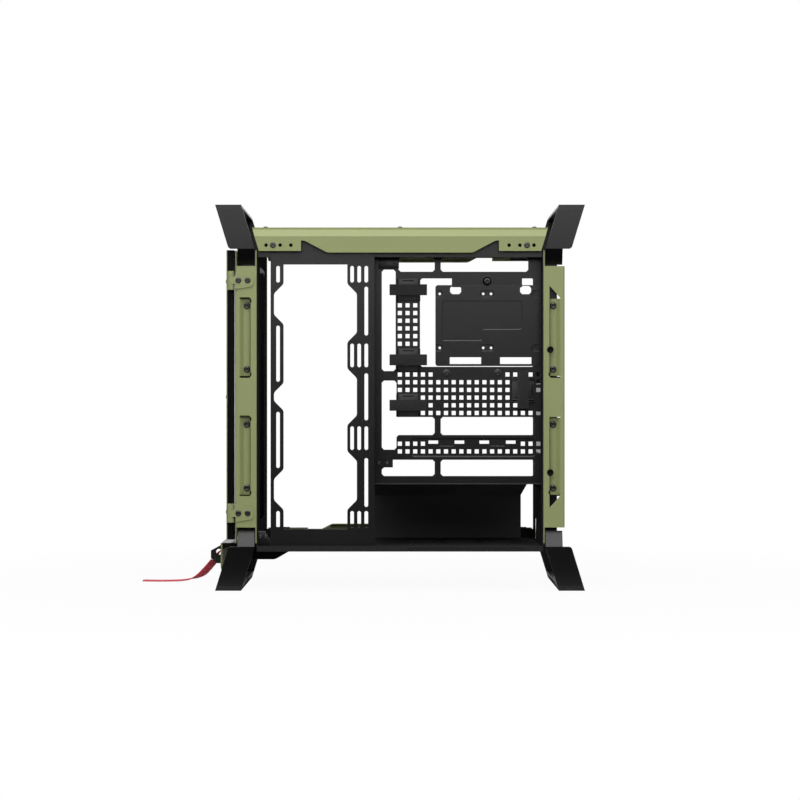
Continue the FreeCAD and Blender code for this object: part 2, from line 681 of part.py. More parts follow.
def make_cage():
    """Cage plates, handle bars, foot bars and rubber strips."""
    cap_level = S.case_height - S.cap_thickness

    def ear_outline(low, high, from_end):
        """An ear or foot between two heights; from_end gives a height's distance from its tip."""
        outer = [reach - from_end(z) * S.cage_lean for z in (low, high)]
        inner = [place - S.ear_width for place in outer]
        return [(inner[0], low), (outer[0], low), (outer[1], high), (inner[1], high)]

    ear = ear_outline(ear_bottom, cap_level, lambda z: S.case_height - z)
    ear[1] = (*ear[1], S.ear_round)
    foot = ear_outline(S.pad_thickness, S.foot_rise, lambda z: z)
    foot[2] = (*foot[2], S.ear_round)
    outer_face = (-half_width, -half_width + S.cage_gauge)
    post_faces = (-post_face, -post_face + S.cage_gauge)
    neck_x = (post_start, post_start + S.neck_width)

    def neck(name, ear_level, post_level):
        """The bend that sets the post behind its ear."""
        outline = [
            (outer_face[0], ear_level), (outer_face[1], ear_level),
            (post_faces[1], post_level), (post_faces[0], post_level),
        ]
        return pad(name, "YZ", [outline], neck_x)

    post_top = ear_bottom - S.joggle_drop
    post_bottom = S.foot_rise + S.joggle_drop
    plate = fuse(
        "cage_blank",
        pad("cage_ear", "XZ", [ear], outer_face),
        neck("cage_upper_neck", ear_bottom, post_top),
        block("cage_post", (post_start, post_start + S.post_width), post_faces, (post_bottom, post_top)),
        neck("cage_lower_neck", S.foot_rise, post_bottom),
        pad("cage_foot", "XZ", [foot], outer_face),
    )
    rear_right = node("rear_right_cage_plate", plate)
    rear_left = node("rear_left_cage_plate", mirror("rear_left_cage", rear_right, "y"))
    node("front_right_cage_plate", mirror("front_right_cage", rear_right, "x"))
    node("front_left_cage_plate", mirror("front_left_cage", rear_left, "x"))

    inside = (-half_width + S.cage_gauge, half_width - S.cage_gauge)
    across = (-half_width, half_width)
    cap = ear_outline(cap_level, S.case_height, lambda z: S.case_height - z)
    lip_bottom = cap_level - S.lip_height
    lip_outer = [reach - (S.case_height - z) * S.cage_lean for z in (lip_bottom, cap_level)]
    lip = [
        (lip_outer[0] - S.cage_gauge, lip_bottom), (lip_outer[0], lip_bottom),
        (lip_outer[1], cap_level), (lip_outer[1] - S.cage_gauge, cap_level),
    ]
    bar_parts = pad("handle_cap", "XZ", [cap], across), pad("handle_lip", "XZ", [lip], inside)
    handle = fuse("rear_handle_parts", *bar_parts)
    node("rear_handle", handle)
    node("front_handle", mirror("front_handle_bar", handle, "x"))

    bar_top = S.pad_thickness + S.foot_bar_thickness
    bar = pad("rear_foot_strip", "XZ", [ear_outline(S.pad_thickness, bar_top, lambda z: z)], inside)
    node("rear_foot_bar", bar)
    node("front_foot_bar", mirror("front_foot_strip", bar, "x"))
    sole = pad("rear_sole", "XZ", [ear_outline(as_size(0), S.pad_thickness, lambda z: z)], across)
    node("rear_foot_pad", sole)
    node("front_foot_pad", mirror("front_sole", sole, "x"))


def button_levels():
    """Heights of the button screws on a column."""
    outer = pocket_far - S.button_inset
    offsets = (outer, S.button_near, -S.button_near, -outer)
    return [mid_level + offset for offset in offsets]


def make_column(name, end):
    """A right-hand column cover; end is 1 at the rear and -1 at the front."""

    def along(distance):
        """A place on the case's length from the column's inner edge."""
        return (half_length + distance) * end

    flange_levels = (mid_level - column_flange, mid_level + column_flange)
    web_levels = (mid_level - column_web, mid_level + column_web)
    back = -skin_face + S.column_depth
    channel = [
        (along(0), back), (along(0), -skin_face), (along(S.column_width), -skin_face, S.column_round),
        (along(S.column_width), back), (along(S.column_width - S.skin), back),
        (along(S.column_width - S.skin), -skin_back), (along(S.skin), -skin_back), (along(S.skin), back),
    ]
    blank = pad(f"{name}_channel", "XY", [channel], flange_levels)
    # The face stops short of the flanges; at the rear the outer flange stops with it
    outer_cut = along(S.column_width - S.skin) if end < 0 else along(S.column_width + S.skin)
    cut_y = (-half_width, back + S.skin) if end > 0 else (-half_width, -skin_back)
    ends_cut = [
        block(f"{name}_end_{i}", (along(S.skin), outer_cut), cut_y, levels)
        for i, levels in enumerate(((web_levels[1], flange_levels[1] + S.skin),
                                    (flange_levels[0] - S.skin, web_levels[0])))
    ]
    windows, tabs = [], []
    start, stop = S.pocket_start, S.pocket_start + S.pocket_width
    floor_face = -post_face - S.skin
    for i, side in enumerate((1, -1)):
        near, far = mid_level + S.pocket_near * side, mid_level + pocket_far * side
        slant = S.pocket_slant * side if end > 0 else as_size(0)
        window = [(along(start), near), (along(stop), near), (along(stop), far), (along(start), far + slant)]
        windows.append(pad(f"{name}_window_{i}", "XZ", [window], (-half_width, -skin_back)))
        ramp = [
            (along(stop), -skin_face), (along(start + S.pocket_flat), floor_face),
            (along(start + S.pocket_slit), floor_face), (along(start + S.pocket_slit), -post_face),
            (along(start + S.pocket_flat + S.pocket_slit), -post_face),
            (along(stop), -skin_back + S.pocket_slit),
        ]
        slit = S.pocket_slit * side
        tabs.append(pad(f"{name}_tab_{i}", "XY", [ramp], (near + slit, far - slit)))
    opened = cut(f"{name}_opened", blank, *ends_cut, *windows)
    return fuse(name, opened, *tabs)


def catch_levels():
    """Heights of the panel catches on a rear column."""
    return [mid_level + S.catch_high, mid_level - S.catch_low]


def make_columns():
    """Four column covers with their button screws and panel catches."""
    for place, end in (("front", -1), ("rear", 1)):
        right = node(f"{place}_right_column", make_column(f"{place}_column", end))
        node(f"{place}_left_column", mirror(f"{place}_left_cover", right, "y"))
    floor_face = -post_face - S.skin
    heads = [
        rod(f"button_{i}_{end + 1}", "y", ((half_length + S.button_start) * end, level), S.button_radius,
            (floor_face, floor_face - S.button_height), SCREW_SIDES)
        for end in (-1, 1)
        for i, level in enumerate(button_levels())
    ]
    right_heads = group("right_buttons", heads)
    node("column_screws", group("buttons", [right_heads, mirror("left_buttons", right_heads, "y")]))
    catches = [
        rod(f"catch_{i}", "y", (half_length + S.catch_start, level), S.catch_radius,
            (-skin_face, -skin_face - S.catch_height), SCREW_SIDES)
        for i, level in enumerate(catch_levels())
    ]
    right_catches = group("right_catches", catches)
    node("panel_catches", group("catches", [right_catches, mirror("left_catches", right_catches, "y")]))


def make_floor():
    """The floor pan with its lips, vent and filter runners, and the dust filter."""
    right, left = -half_width + S.near_lip_inset, rail_plane
    along = (-inner_length, inner_length)
    runner_bottom = floor_bottom - S.filter_height - 2 * S.filter_gap - S.runner_lip_height
    filter_x = (S.filter_start, S.filter_start + S.filter_length)
    runner_y = (right + S.sheet, left - S.filter_far_gap)
    runners = []
    for i, (edge, side) in enumerate(zip(filter_x, (-1, 1))):
        inner = edge + S.filter_gap * side
        runners.append(block(f"runner_leg_{i}", (inner, inner + S.runner_width * side), runner_y,
                             (runner_bottom, floor_bottom)))
        runners.append(block(f"runner_lip_{i}", (inner, inner - S.runner_lip * side), runner_y,
                             (runner_bottom, runner_bottom + S.runner_lip_height)))
    pan = fuse(
        "floor_blank",
        block("floor_sheet", along, (right, left), (floor_bottom, floor_top)),
        block("floor_right_lip", along, (right, right + S.sheet),
              (S.floor_level, S.floor_level + S.near_lip)),
        block("floor_left_lip", along, (left - S.sheet, left), (floor_bottom, S.floor_level + S.far_lip)),
        *runners,
    )
    # The filter slides out through the right lip, which its front bar fills
    mouth = block("filter_mouth", (filter_x[0] - S.filter_gap, filter_x[1] + S.filter_gap),
                  (right - S.sheet, right + S.sheet), (S.floor_level - S.sheet, floor_bottom))
    vents = []
    for row, middle in enumerate(slot_row(VENT_ROWS, S.vent_pitch_across)):
        for column in range(VENT_COLUMNS):
            start = S.vent_start + S.vent_pitch_along * column
            vents.append(block(
                f"vent_{row}_{column}", (start, start + S.vent_slot_length),
                (middle - S.vent_slot_width / 2, middle + S.vent_slot_width / 2),
                (floor_bottom - S.sheet, floor_top + S.sheet),
            ))
    node("floor_pan", cut("floor", pan, mouth, *vents))
    screen_top = floor_bottom - S.filter_gap
    screen_bottom = screen_top - S.filter_height
    rim = [rectangle(filter_x, runner_y),
           rectangle((filter_x[0] + S.filter_rim, filter_x[1] - S.filter_rim),
                     (runner_y[0] + S.filter_rim, runner_y[1] - S.filter_rim))]
    node("psu_filter", fuse(
        "filter_parts",
        pad("filter_rim_ring", "XY", rim, (screen_bottom, screen_top)),
        block("filter_screen", filter_x, runner_y, (screen_bottom, screen_bottom + S.sheet)),
        block("filter_bar", filter_x, (right, runner_y[0]), (S.floor_level, screen_top)),
    ))


def slot_row(count, pitch):
    """Places of evenly spaced slots about the middle."""
    return [pitch * (i - (count - 1) / 2) for i in range(count)]


def make_walls():
    """The front frame, the roof and the rear panel."""
    across = (-wall_edge, wall_edge)
    window = S.fan_window / 2
    half_slot, half_run = S.rail_slot_width / 2, S.rail_slot_length / 2
    levels = (S.floor_level + S.front_window_margin, roof_level - S.front_window_margin)
    front_middle = (levels[0] + levels[1]) / 2
    outlines = [
        rectangle(across, (S.floor_level, roof_level)),
        clip(rectangle((-window, window), levels, S.tray_round)),
    ]
    for side in (-1, 1):
        for offset in slot_row(FRONT_SLOTS, S.rail_slot_pitch):
            middle = S.rail_slot_offset * side
            outlines.append(rectangle(
                (middle - half_slot, middle + half_slot),
                (front_middle + offset - half_run, front_middle + offset + half_run),
            ))
    node("front_frame", pad("front_wall", "YZ", outlines, (-half_length, -inner_length)))

    roof_middle = (S.roof_window_start + S.roof_window_end) / 2
    outlines = [
        rectangle((-inner_length, inner_length), (-rail_plane, rail_plane)),
        clip(rectangle((S.roof_window_start, S.roof_window_end), (-window, window), S.tray_round)),
    ]
    for side in (-1, 1):
        for offset in slot_row(ROOF_SLOTS, S.rail_slot_pitch):
            middle = S.rail_slot_offset * side
            outlines.append(rectangle(
                (roof_middle + offset - half_run, roof_middle + offset + half_run),
                (middle - half_slot, middle + half_slot),
            ))
    flanges = [
        block(f"roof_flange_{i}", (-inner_length, inner_length),
              (rail_plane * side, (rail_plane - S.sheet) * side), (roof_level - drop, roof_level))
        for i, (side, drop) in enumerate(((-1, S.roof_flange), (1, S.far_flange)))
    ]
    node("roof_panel", fuse("roof", pad("roof_sheet", "XY", outlines, (roof_bottom, roof_level)), *flanges))
    make_rear_panel(across)


def slot_levels():
    """Axes of the expansion slots."""
    return [S.slot_top - S.slot_pitch * i for i in range(EXPANSION_SLOTS)]


def make_rear_panel(across):
    """The rear panel with its slot covers, their ledge and their screws."""
    io_bottom = roof_level - S.io_drop
    fan_level = roof_level - S.fan_drop
    cover_start = S.slot_start - S.cover_overlap
    cover_end = cover_start + S.cover_length
    ledge_face = cover_end + S.cover_clearance
    outlines = [
        rectangle(across, (S.floor_level, roof_level)),
        rectangle((S.io_start, S.io_start + S.io_width), (io_bottom, io_bottom + S.io_height)),
        rectangle((-S.supply_width / 2, S.supply_width / 2),
                  (S.supply_bottom, S.supply_bottom + S.supply_height)),
    ]
    for level in slot_levels():
        outlines.append(rectangle((S.slot_start, ledge_face),
                                  (level - S.slot_height / 2, level + S.slot_height / 2)))
    circles = [(S.fan_offset, fan_level, S.fan_bore)]
    spread = S.fan_holes / 2
    for side in (-1, 1):
        for rise in (-1, 1):
            place = (S.fan_offset + spread * side, fan_level + spread * rise)
            circles.append((*place, S.fan_hole_radius))
    node("rear_panel", pad("rear_wall", "YZ", outlines, (inner_length, half_length), circles))
    tab_end = half_length + S.cover_tab
    levels = slot_levels()
    node("slot_ledge", block("ledge", (half_length, tab_end), (ledge_face, ledge_face + S.sheet),
                             (levels[-1] - S.slot_pitch / 2, levels[0] + S.slot_pitch / 2)))
    covers, screws = [], []
    seat = cover_end - S.sheet
    half_tab = S.slot_height / 2 - S.cover_clearance
    for i, level in enumerate(levels):
        heights = (level - S.cover_height / 2, level + S.cover_height / 2)
        plate_x = (inner_length - S.sheet, inner_length)
        plate = block(f"cover_plate_{i}", plate_x, (cover_start, cover_end), heights)
        tab = block(f"cover_tab_{i}", (plate_x[0], tab_end), (seat, cover_end),
                    (level - half_tab, level + half_tab))
        covers.append(fuse(f"cover_{i}", plate, tab))
        place = (half_length + S.cover_tab / 2, level)
        screws.append(rod(f"cover_screw_{i}", "y", place, S.cover_screw_radius,
                          (seat, seat - S.button_height), SCREW_SIDES))
    node("slot_covers", group("covers", covers))
    node("slot_screws", group("cover_screws", screws))


def make_tray():
    """The motherboard tray with its cable openings, folded edge and square holes."""
    r = S.tray_round
    fold_top = roof_level - S.roof_flange
    upper_bottom = fold_top - S.upper_opening
    cut_out_top = upper_bottom - S.tray_bar
    arm_level = cut_out_top - S.arm_drop
    hook_level = S.tray_band_10 - S.hook_drop
    openings = [
        rectangle((S.arm_start, S.strip_start - S.sheet), (S.tray_band_5, upper_bottom + r), r),
        rectangle((S.strip_start + r, S.post_start), (upper_bottom, fold_top), r),
        rectangle((S.post_end, S.top_opening_end), (upper_bottom, fold_top), r),
        [
            (S.strip_end, S.tray_band_4, r), (S.opening_end, S.tray_band_4, r),
            (S.opening_end, cut_out_top, r), (S.arm_rear, cut_out_top), (S.arm_rear, arm_level),
            (S.arm_front, arm_level), (S.arm_front, cut_out_top), (S.strip_end, cut_out_top, r),
        ],
        [
            (S.arm_start, S.tray_band_9, r), (S.strip_start, S.tray_band_9, r),
            (S.strip_start, S.tray_band_8, r), (S.post_start, S.tray_band_8, r),
            (S.post_start, S.tray_band_7, r), (S.strip_start, S.tray_band_7),
            (S.strip_start, S.tray_band_6, r), (S.arm_start, S.tray_band_6, r),
        ],
        rectangle((S.post_end, S.opening_end), (S.tray_band_8, S.tray_band_7), r),
        [
            (S.arm_start, S.tray_band_11, r), (S.post_start, S.tray_band_11, r),
            (S.post_start, S.tray_band_10, r), (S.hook_end, S.tray_band_10),
            (S.hook_end, hook_level), (S.arm_start, hook_level, r),
        ],
        rectangle((S.post_end, S.opening_end), (S.tray_band_11, S.tray_band_10), r),
    ]
    outer = rectangle((S.tray_start, inner_length), (S.shroud_level, roof_bottom))
    sheet = pad("tray_sheet", "XZ", [outer, *map(clip, openings)], (-tray_face, -tray_back))
    fold = block("tray_fold", (S.tray_start, S.tray_start + S.sheet), (-rail_plane, -tray_back),
                 (S.shroud_level, fold_top))
    holes = []
    cut_y = (-tray_face - S.sheet, -tray_back + S.sheet)
    for row, marks in enumerate(PERFORATION):
        level = S.perf_level + S.perf_pitch * (ROWS_ABOVE - row)
        for column, mark in enumerate(marks):
            if mark == "o":
                middle = S.perf_start + S.perf_pitch * column
                holes.append(block(
                    f"perf_{row}_{column}", (middle - S.perf_size / 2, middle + S.perf_size / 2), cut_y,
                    (level - S.perf_size / 2, level + S.perf_size / 2),
                ))
    rail_level = S.perf_level + S.perf_pitch * RAIL_SLOT_ROW
    for i, column in enumerate(RAIL_SLOTS):
        start = S.perf_start + S.perf_pitch * column
        holes.append(block(f"rail_slot_{i}", (start, start + S.rail_slot_run), cut_y,
                           (rail_level, rail_level + S.rail_slot_rise)))
    node("motherboard_tray", cut("tray", fuse("tray_blank", sheet, fold), *holes))


def make_drive_plate():
    """The plate for two small drives, with its thumb screw."""
    middle = (S.drive_start + S.drive_end) / 2
    faces = (-tray_face - S.sheet, -tray_face)
    half_tab, r = S.drive_tab_width / 2, S.drive_round
    tab_top = S.drive_top + S.drive_tab
    outline = [
        (S.drive_start, S.drive_bottom, r), (S.drive_end, S.drive_bottom, r), (S.drive_end, S.drive_top, r),
        (middle + half_tab, S.drive_top), (middle + half_tab, tab_top, r),
        (middle - half_tab, tab_top, r), (middle - half_tab, S.drive_top), (S.drive_start, S.drive_top, r),
    ]
    outlines, circles = [clip(outline)], []
    for side in (-1, 1):
        notch = middle + S.notch_shift + S.notch_spread / 2 * side
        notch_x = (notch - S.notch_width / 2, notch + S.notch_width / 2)
        notch_z = (S.drive_top - S.notch_depth, S.drive_top - S.sheet)
        outlines.append(clip(rectangle(notch_x, notch_z, S.tray_round)))
        slot = middle + S.notch_shift + S.drive_slot_spread / 2 * side
        low = S.drive_bottom + S.drive_slot_rise
        slot_x = (slot - S.drive_slot_width / 2, slot + S.drive_slot_width / 2)
        outlines.append(rectangle(slot_x, (low, low + S.drive_slot_height)))
        for offset in (S.drive_gap / 2, S.drive_gap / 2 + S.drive_pair):
            for level in (S.drive_row_low, S.drive_row_high):
                circles.append((middle + offset * side, level, S.drive_hole))
    node("drive_plate", pad("drive_sheet", "XZ", outlines, faces, circles))
    node("drive_plate_screw", rod("drive_screw", "y", (middle, tab_top - half_tab), S.tray_screw_head,
                                  (faces[0], faces[0] - S.tray_screw_height), BARREL_SIDES))


def make_straps():
    """Strap bases on the tray, and the cable straps on them."""
    strip = (S.strip_start + S.strip_end) / 2
    pitch = S.perf_pitch
    column, row = UPRIGHT_STRAP
    places = [((strip, S.perf_level + pitch * row), False) for row in STRAP_ROWS]
    places.append(((S.perf_start + pitch * column, S.perf_level + pitch * row), True))
    bases, straps = [], []
    base_top = -tray_face - S.base_height
    for i, ((x, z), upright) in enumerate(places):
        long_half, wide_half = S.base_length / 2, S.base_width / 2
        strap_half, web_half = S.strap_length / 2, S.strap_width / 2
        spans = [(long_half, wide_half), (strap_half, web_half)]
        if upright:
            spans = [span[::-1] for span in spans]
        (base_x, base_z), (strap_x, strap_z) = spans
        bases.append(block(f"strap_base_{i}", (x - base_x, x + base_x), (-tray_face, base_top),
                           (z - base_z, z + base_z)))
        straps.append(block(f"strap_{i}", (x - strap_x, x + strap_x),
                            (base_top, base_top - S.strap_thickness), (z - strap_z, z + strap_z)))
    node("strap_bases", group("bases", bases))
    node("cable_straps", group("straps", straps))


def make_shroud():
    """The power-supply shroud, open to the right, with its left edge sloped."""
    t, slope, top = S.sheet, S.shroud_chamfer, S.shroud_level
    bend = t * MITRE
    wall = rail_plane - S.shroud_gap
    outline = [
        (-tray_face, top), (wall - slope, top), (wall, top - slope), (wall, floor_top),
        (wall - t, floor_top), (wall - t, top - slope - bend), (wall - slope - bend, top - t),
        (-tray_face, top - t),
    ]
    folded = pad("shroud_sheet", "YZ", [outline], (S.shroud_start, inner_length))
    corner = [
        (S.shroud_end + slope / 2, wall - slope), (S.shroud_end, wall), (S.shroud_end, wall + t),
        (inner_length + t, wall + t), (inner_length + t, wall - slope),
    ]
    node("psu_shroud", cut("shroud", folded, pad("shroud_corner", "XY", [corner], (S.floor_level, top + t))))


def rail_stops(mid_near, mid_far, end):
    """Heights, from the middle, of a rail's wide parts: the middle part and the end part."""
    return [(mid_near + S.tab_slope, mid_far - S.tab_slope), (end - S.end_tab, end)]


def make_fan_bracket():
    """The side fan bracket: a frame whose rails widen where fan screws go."""
    top = beam_bottom - S.bracket_gap
    end, r = top - S.bracket_bar - mid_level, S.tab_round

    def rail(strip, tab, mid_near, mid_far):
        """Corners of one rail's inner edge from its upper end down to the middle."""
        return [
            (tab, end), (tab, end - S.end_tab, r), (strip, end - S.end_tab - S.tab_slope, r),
            (strip, mid_far, r), (tab, mid_far - S.tab_slope, r), (tab, mid_near + S.tab_slope, r),
            (strip, mid_near, r),
        ]

    front_end, rear_end = S.bracket_start, S.bracket_end
    front = rail(front_end + S.front_strip, front_end + S.front_tab, S.front_mid_near, S.front_mid_far)
    rear = rail(rear_end - S.rear_strip, rear_end - S.rear_tab, S.rear_mid_near, S.rear_mid_far)

    def level(corner, side):
        """A corner above or below the middle."""
        return (corner[0], mid_level + corner[1] * side, *corner[2:])

    middle = (S.bracket_start + S.bracket_end) / 2
    outlines = [rectangle((S.bracket_start, S.bracket_end), (floor_top, top))]
    for edge, overlap in ((front, S.sheet), (rear, -S.sheet)):
        corners = [level(c, 1) for c in edge] + [level(c, -1) for c in edge[::-1]]
        closing = [(middle + overlap, mid_level - end), (middle + overlap, mid_level + end)]
        outlines.append(corners + closing)

    def add_slot(start, low, high):
        """A slot above the middle and one below it."""
        for side in (1, -1):
            levels = (mid_level + low * side, mid_level + high * side)
            outlines.append(clip(rectangle((start, start + S.fan_slot), levels, S.fan_slot_cut)))

    gap = S.fan_slot_end
    for low, high in rail_stops(S.front_mid_near, S.front_mid_far, end):
        add_slot(S.bracket_start + S.front_slot_inset, low + gap, high - gap)
    for column in range(FAN_SLOT_COLUMNS):
        start = S.bracket_end - S.rear_tab + S.rear_slot_inset / 2 + S.rear_slot_pitch * column
        for low, high in rail_stops(S.rear_mid_near, S.rear_mid_far, end):
            add_slot(start, low + gap, high - gap)
    add_slot(start, S.rear_mid_far - gap * 2, end - S.end_tab - gap * 2)
    half = S.rear_mid_near + S.tab_slope / 2
    levels = (mid_level - half, mid_level + half)
    outlines.append(clip(rectangle((start, start + S.fan_slot), levels, S.fan_slot_cut)))
    bracket = pad("bracket_sheet", "XZ", outlines, (-rail_plane - S.sheet, -rail_plane))
    node("side_fan_bracket", bracket)


def make_beams():
    """The top beams, the left sill and what fastens them."""
    t = S.skin
    bend = t * MITRE
    face_top = beam_bottom + S.beam_face
    bevel_top = face_top + S.beam_bevel
    outer = -half_width

    def beam(name, bottom, plate):
        """A folded beam down to its lower edge, with end plates that end so far above it."""
        section = [
            (-rail_plane, bottom), (outer, bottom), (outer, face_top),
            (outer + S.beam_bevel, bevel_top), (outer + S.beam_bevel, beam_top),
            (-shelf_edge, beam_top), (-shelf_edge, shelf_bottom),
            (outer + S.beam_bevel + t, shelf_bottom), (outer + S.beam_bevel + t, bevel_top - bend),
            (outer + t, face_top - bend), (outer + t, bottom + t), (-rail_plane, bottom + t),
        ]
        folded = pad(f"{name}_section", "YZ", [section], (-S.beam_reach, S.beam_reach))
        plate_level, notch_level = bottom + plate, bottom + S.beam_notch_rise
        low_end = S.beam_reach - (beam_top - plate_level) * S.cage_lean
        notch = S.beam_notch
        notch_in = notch - S.beam_notch_width
        half_side = [
            (S.beam_reach, beam_top), (low_end, plate_level), (notch, plate_level), (notch, notch_level),
            (notch_in, notch_level, S.beam_sweep_round),
            (notch_in - S.beam_sweep, bottom, S.beam_sweep_round),
        ]
        outline = half_side + [(-c[0], *c[1:]) for c in half_side[::-1]]
        side_view = pad(f"{name}_side", "XZ", [outline], (outer, -shelf_edge))
        return common(name, folded, side_view)

    screw_level = roof_level - S.beam_screw_drop
    blocks, screws = [], []
    half_block, half_rise = S.beam_block_length / 2, S.beam_block_height / 2
    for i, end in enumerate((-1, 1)):
        place = (S.beam_screw_start * end, screw_level)
        blocks.append(block(f"beam_block_{i}", (place[0] - half_block, place[0] + half_block),
                            (outer + t, -rail_plane), (screw_level - half_rise, screw_level + half_rise)))
        screws.append(rod(f"beam_screw_{i}", "y", place, S.beam_screw_radius,
                          (outer, outer - S.beam_screw_height), SCREW_SIDES))
    studs = [
        rod(f"beam_stud_{i}", "z", (S.stud_spread * place, -half_width + S.stud_inset), S.stud_radius,
            (beam_top, beam_top + S.stud_height), SCREW_SIDES)
        for i, place in enumerate((-1, 0, 1))
    ]
    right = node("right_top_beam", beam("right_beam", beam_bottom, S.beam_plate))
    node("left_top_beam", mirror("left_beam", right, "y"))
    upturned = mirror("sill_blank", beam("sill_beam", beam_bottom - S.sill_rise, S.sill_plate), "y")
    right_blocks, right_screws = group("right_beam_blocks", blocks), group("right_beam_screws", screws)
    left_blocks = mirror("left_beam_blocks", right_blocks, "y")
    left_screws = mirror("left_beam_screws", right_screws, "y")
    right_studs = group("right_studs", studs)
    node("left_sill", sill_of("sill", upturned))
    sill_blocks, sill_screws = sill_of("sill_blocks", left_blocks), sill_of("sill_screws", left_screws)
    node("beam_brackets", group("beam_blocks", [right_blocks, left_blocks, sill_blocks]))
    node("beam_screws", group("beam_fasteners", [right_screws, left_screws, sill_screws]))
    node("top_studs", group("studs", [right_studs, mirror("left_studs", right_studs, "y")]))


def sill_of(name, source):
    """A beam's piece mirrored from the roof to the floor."""
    made = mirror(name, source, "z")
    bind(made, "Base.z", (S.floor_level + roof_level) / 2)
    return made


def leaf_screw_places():
    """Places, along the case and up, of the hinge screws on the front column."""
    first = -column_end + S.leaf_screw_start
    return [
        (first + S.leaf_screw_pitch * i, mid_level + hinge_spread * side)
        for side in (1, -1)
        for i in range(2)
    ]


def make_hinges():
    """Two hinges: column leaf, door leaf, pins and screws."""
    pins, screws = [], []
    axis = (-hinge_x, -hinge_y)
    bore_radius = S.pin_radius + S.pin_gap
    # The pin is fixed in the door leaf, whose many-sided bores clear it by the same gap
    fixed_radius = bore_radius / math.cos(math.pi / BARREL_SIDES)
    leaf_faces = (-skin_face - S.leaf_thickness, -skin_face)
    start, r = -column_end + S.leaf_start, S.leaf_round
    stop = start + S.leaf_length
    plate_x = (-door_front + S.door_skin, -hinge_x + S.knuckle_radius - S.pin_gap)
    neck_x = (-hinge_x - S.knuckle_neck / 2, -hinge_x + S.knuckle_neck / 2)
    for name, side in (("upper", 1), ("lower", -1)):
        level = mid_level + hinge_spread * side
        low, high = level - S.knuckle_height / 2, level + S.knuckle_height / 2
        middle = (level - S.knuckle_middle / 2, level + S.knuckle_middle / 2)
        through = (low - S.skin, high + S.skin)
        wide, narrow = S.leaf_height / 2, S.leaf_taper / 2
        outline = [
            (start, level - wide), (stop - r, level - narrow), (stop, level - narrow + r),
            (stop, level + narrow - r), (stop - r, level + narrow), (start, level + wide),
        ]
        leaf = fuse(
            f"{name}_leaf_blank",
            pad(f"{name}_leaf_plate", "XZ", [outline], leaf_faces),
            block(f"{name}_leaf_tongue", (-hinge_x, start), leaf_faces, middle),
            rod(f"{name}_leaf_knuckle", "z", axis, S.knuckle_radius, middle, BARREL_SIDES),
        )
        bore = rod(f"{name}_leaf_bore", "z", axis, bore_radius, through)
        node(f"{name}_column_leaf", cut(f"{name}_leaf", leaf, bore))
        plate_y = (-door_near - S.leaf_thickness, -door_near)
        parts = [block(f"{name}_door_plate", plate_x, plate_y, (low, high))]
        for i, span in enumerate(((low, middle[0] - S.knuckle_gap), (middle[1] + S.knuckle_gap, high))):
            parts.append(rod(f"{name}_door_knuckle_{i}", "z", axis, S.knuckle_radius, span, BARREL_SIDES))
            parts.append(block(f"{name}_door_neck_{i}", neck_x, (-hinge_y, -door_near), span))
        seat = rod(f"{name}_door_bore", "z", axis, fixed_radius, through, BARREL_SIDES)
        node(f"{name}_door_leaf", cut(f"{name}_door_hinge", fuse(f"{name}_door_blank", *parts), seat))
        pins.append(rod(f"{name}_pin", "z", axis, S.pin_radius, (low, high)))
    for i, place in enumerate(leaf_screw_places()):
        screws.append(rod(f"leaf_screw_{i}", "y", place, S.leaf_screw_radius,
                          (leaf_faces[0], leaf_faces[0] - S.leaf_screw_height), SCREW_SIDES))
    node("hinge_pins", group("pins", pins))
    node("hinge_screws", group("leaf_screws", screws))


def make_door():
    """The front door: green skin, black frame, mesh and screws."""
    across, levels = (-door_near, door_far), (S.door_bottom, door_top)
    window = ((-door_near + S.door_margin, door_far - S.door_margin),
              (S.door_bottom + S.door_margin, door_top - S.door_margin))
    skin_x = (-door_front, -door_front + S.door_skin)
    ledge_x = (skin_x[1], skin_x[1] + S.door_ledge)
    outlines = [rectangle(across, levels), rectangle(*window, S.door_round)]
    node("door_skin", pad("door_panel", "YZ", outlines, skin_x))
    wall = S.door_wall
    inner = ((across[0] + wall, across[1] - wall), (levels[0] + wall, levels[1] - wall))
    node("door_frame", fuse(
        "door_frame_parts",
        pad("door_walls", "YZ", [rectangle(across, levels), rectangle(*inner)], (skin_x[1], -door_back)),
        pad("door_ledge_sheet", "YZ", outlines, ledge_x),
    ))
    mesh = [(ends[0] - S.mesh_overlap, ends[1] + S.mesh_overlap) for ends in window]
    node("door_mesh", block("door_screen", (ledge_x[1], ledge_x[1] + S.mesh_thickness), *mesh))
    heads = []
    for edge, inward in ((across[0], 1), (across[1], -1)):
        for i, step in enumerate((-1, 0, 1)):
            place = (edge + S.door_screw_inset * inward, mid_level + S.door_screw_spread * step)
            heads.append(rod(f"door_screw_{inward + 1}_{i}", "x", place, S.door_screw_radius,
                             (skin_x[0] - S.door_screw_height, skin_x[0]), SCREW_SIDES))
    node("door_screws", group("door_heads", heads))


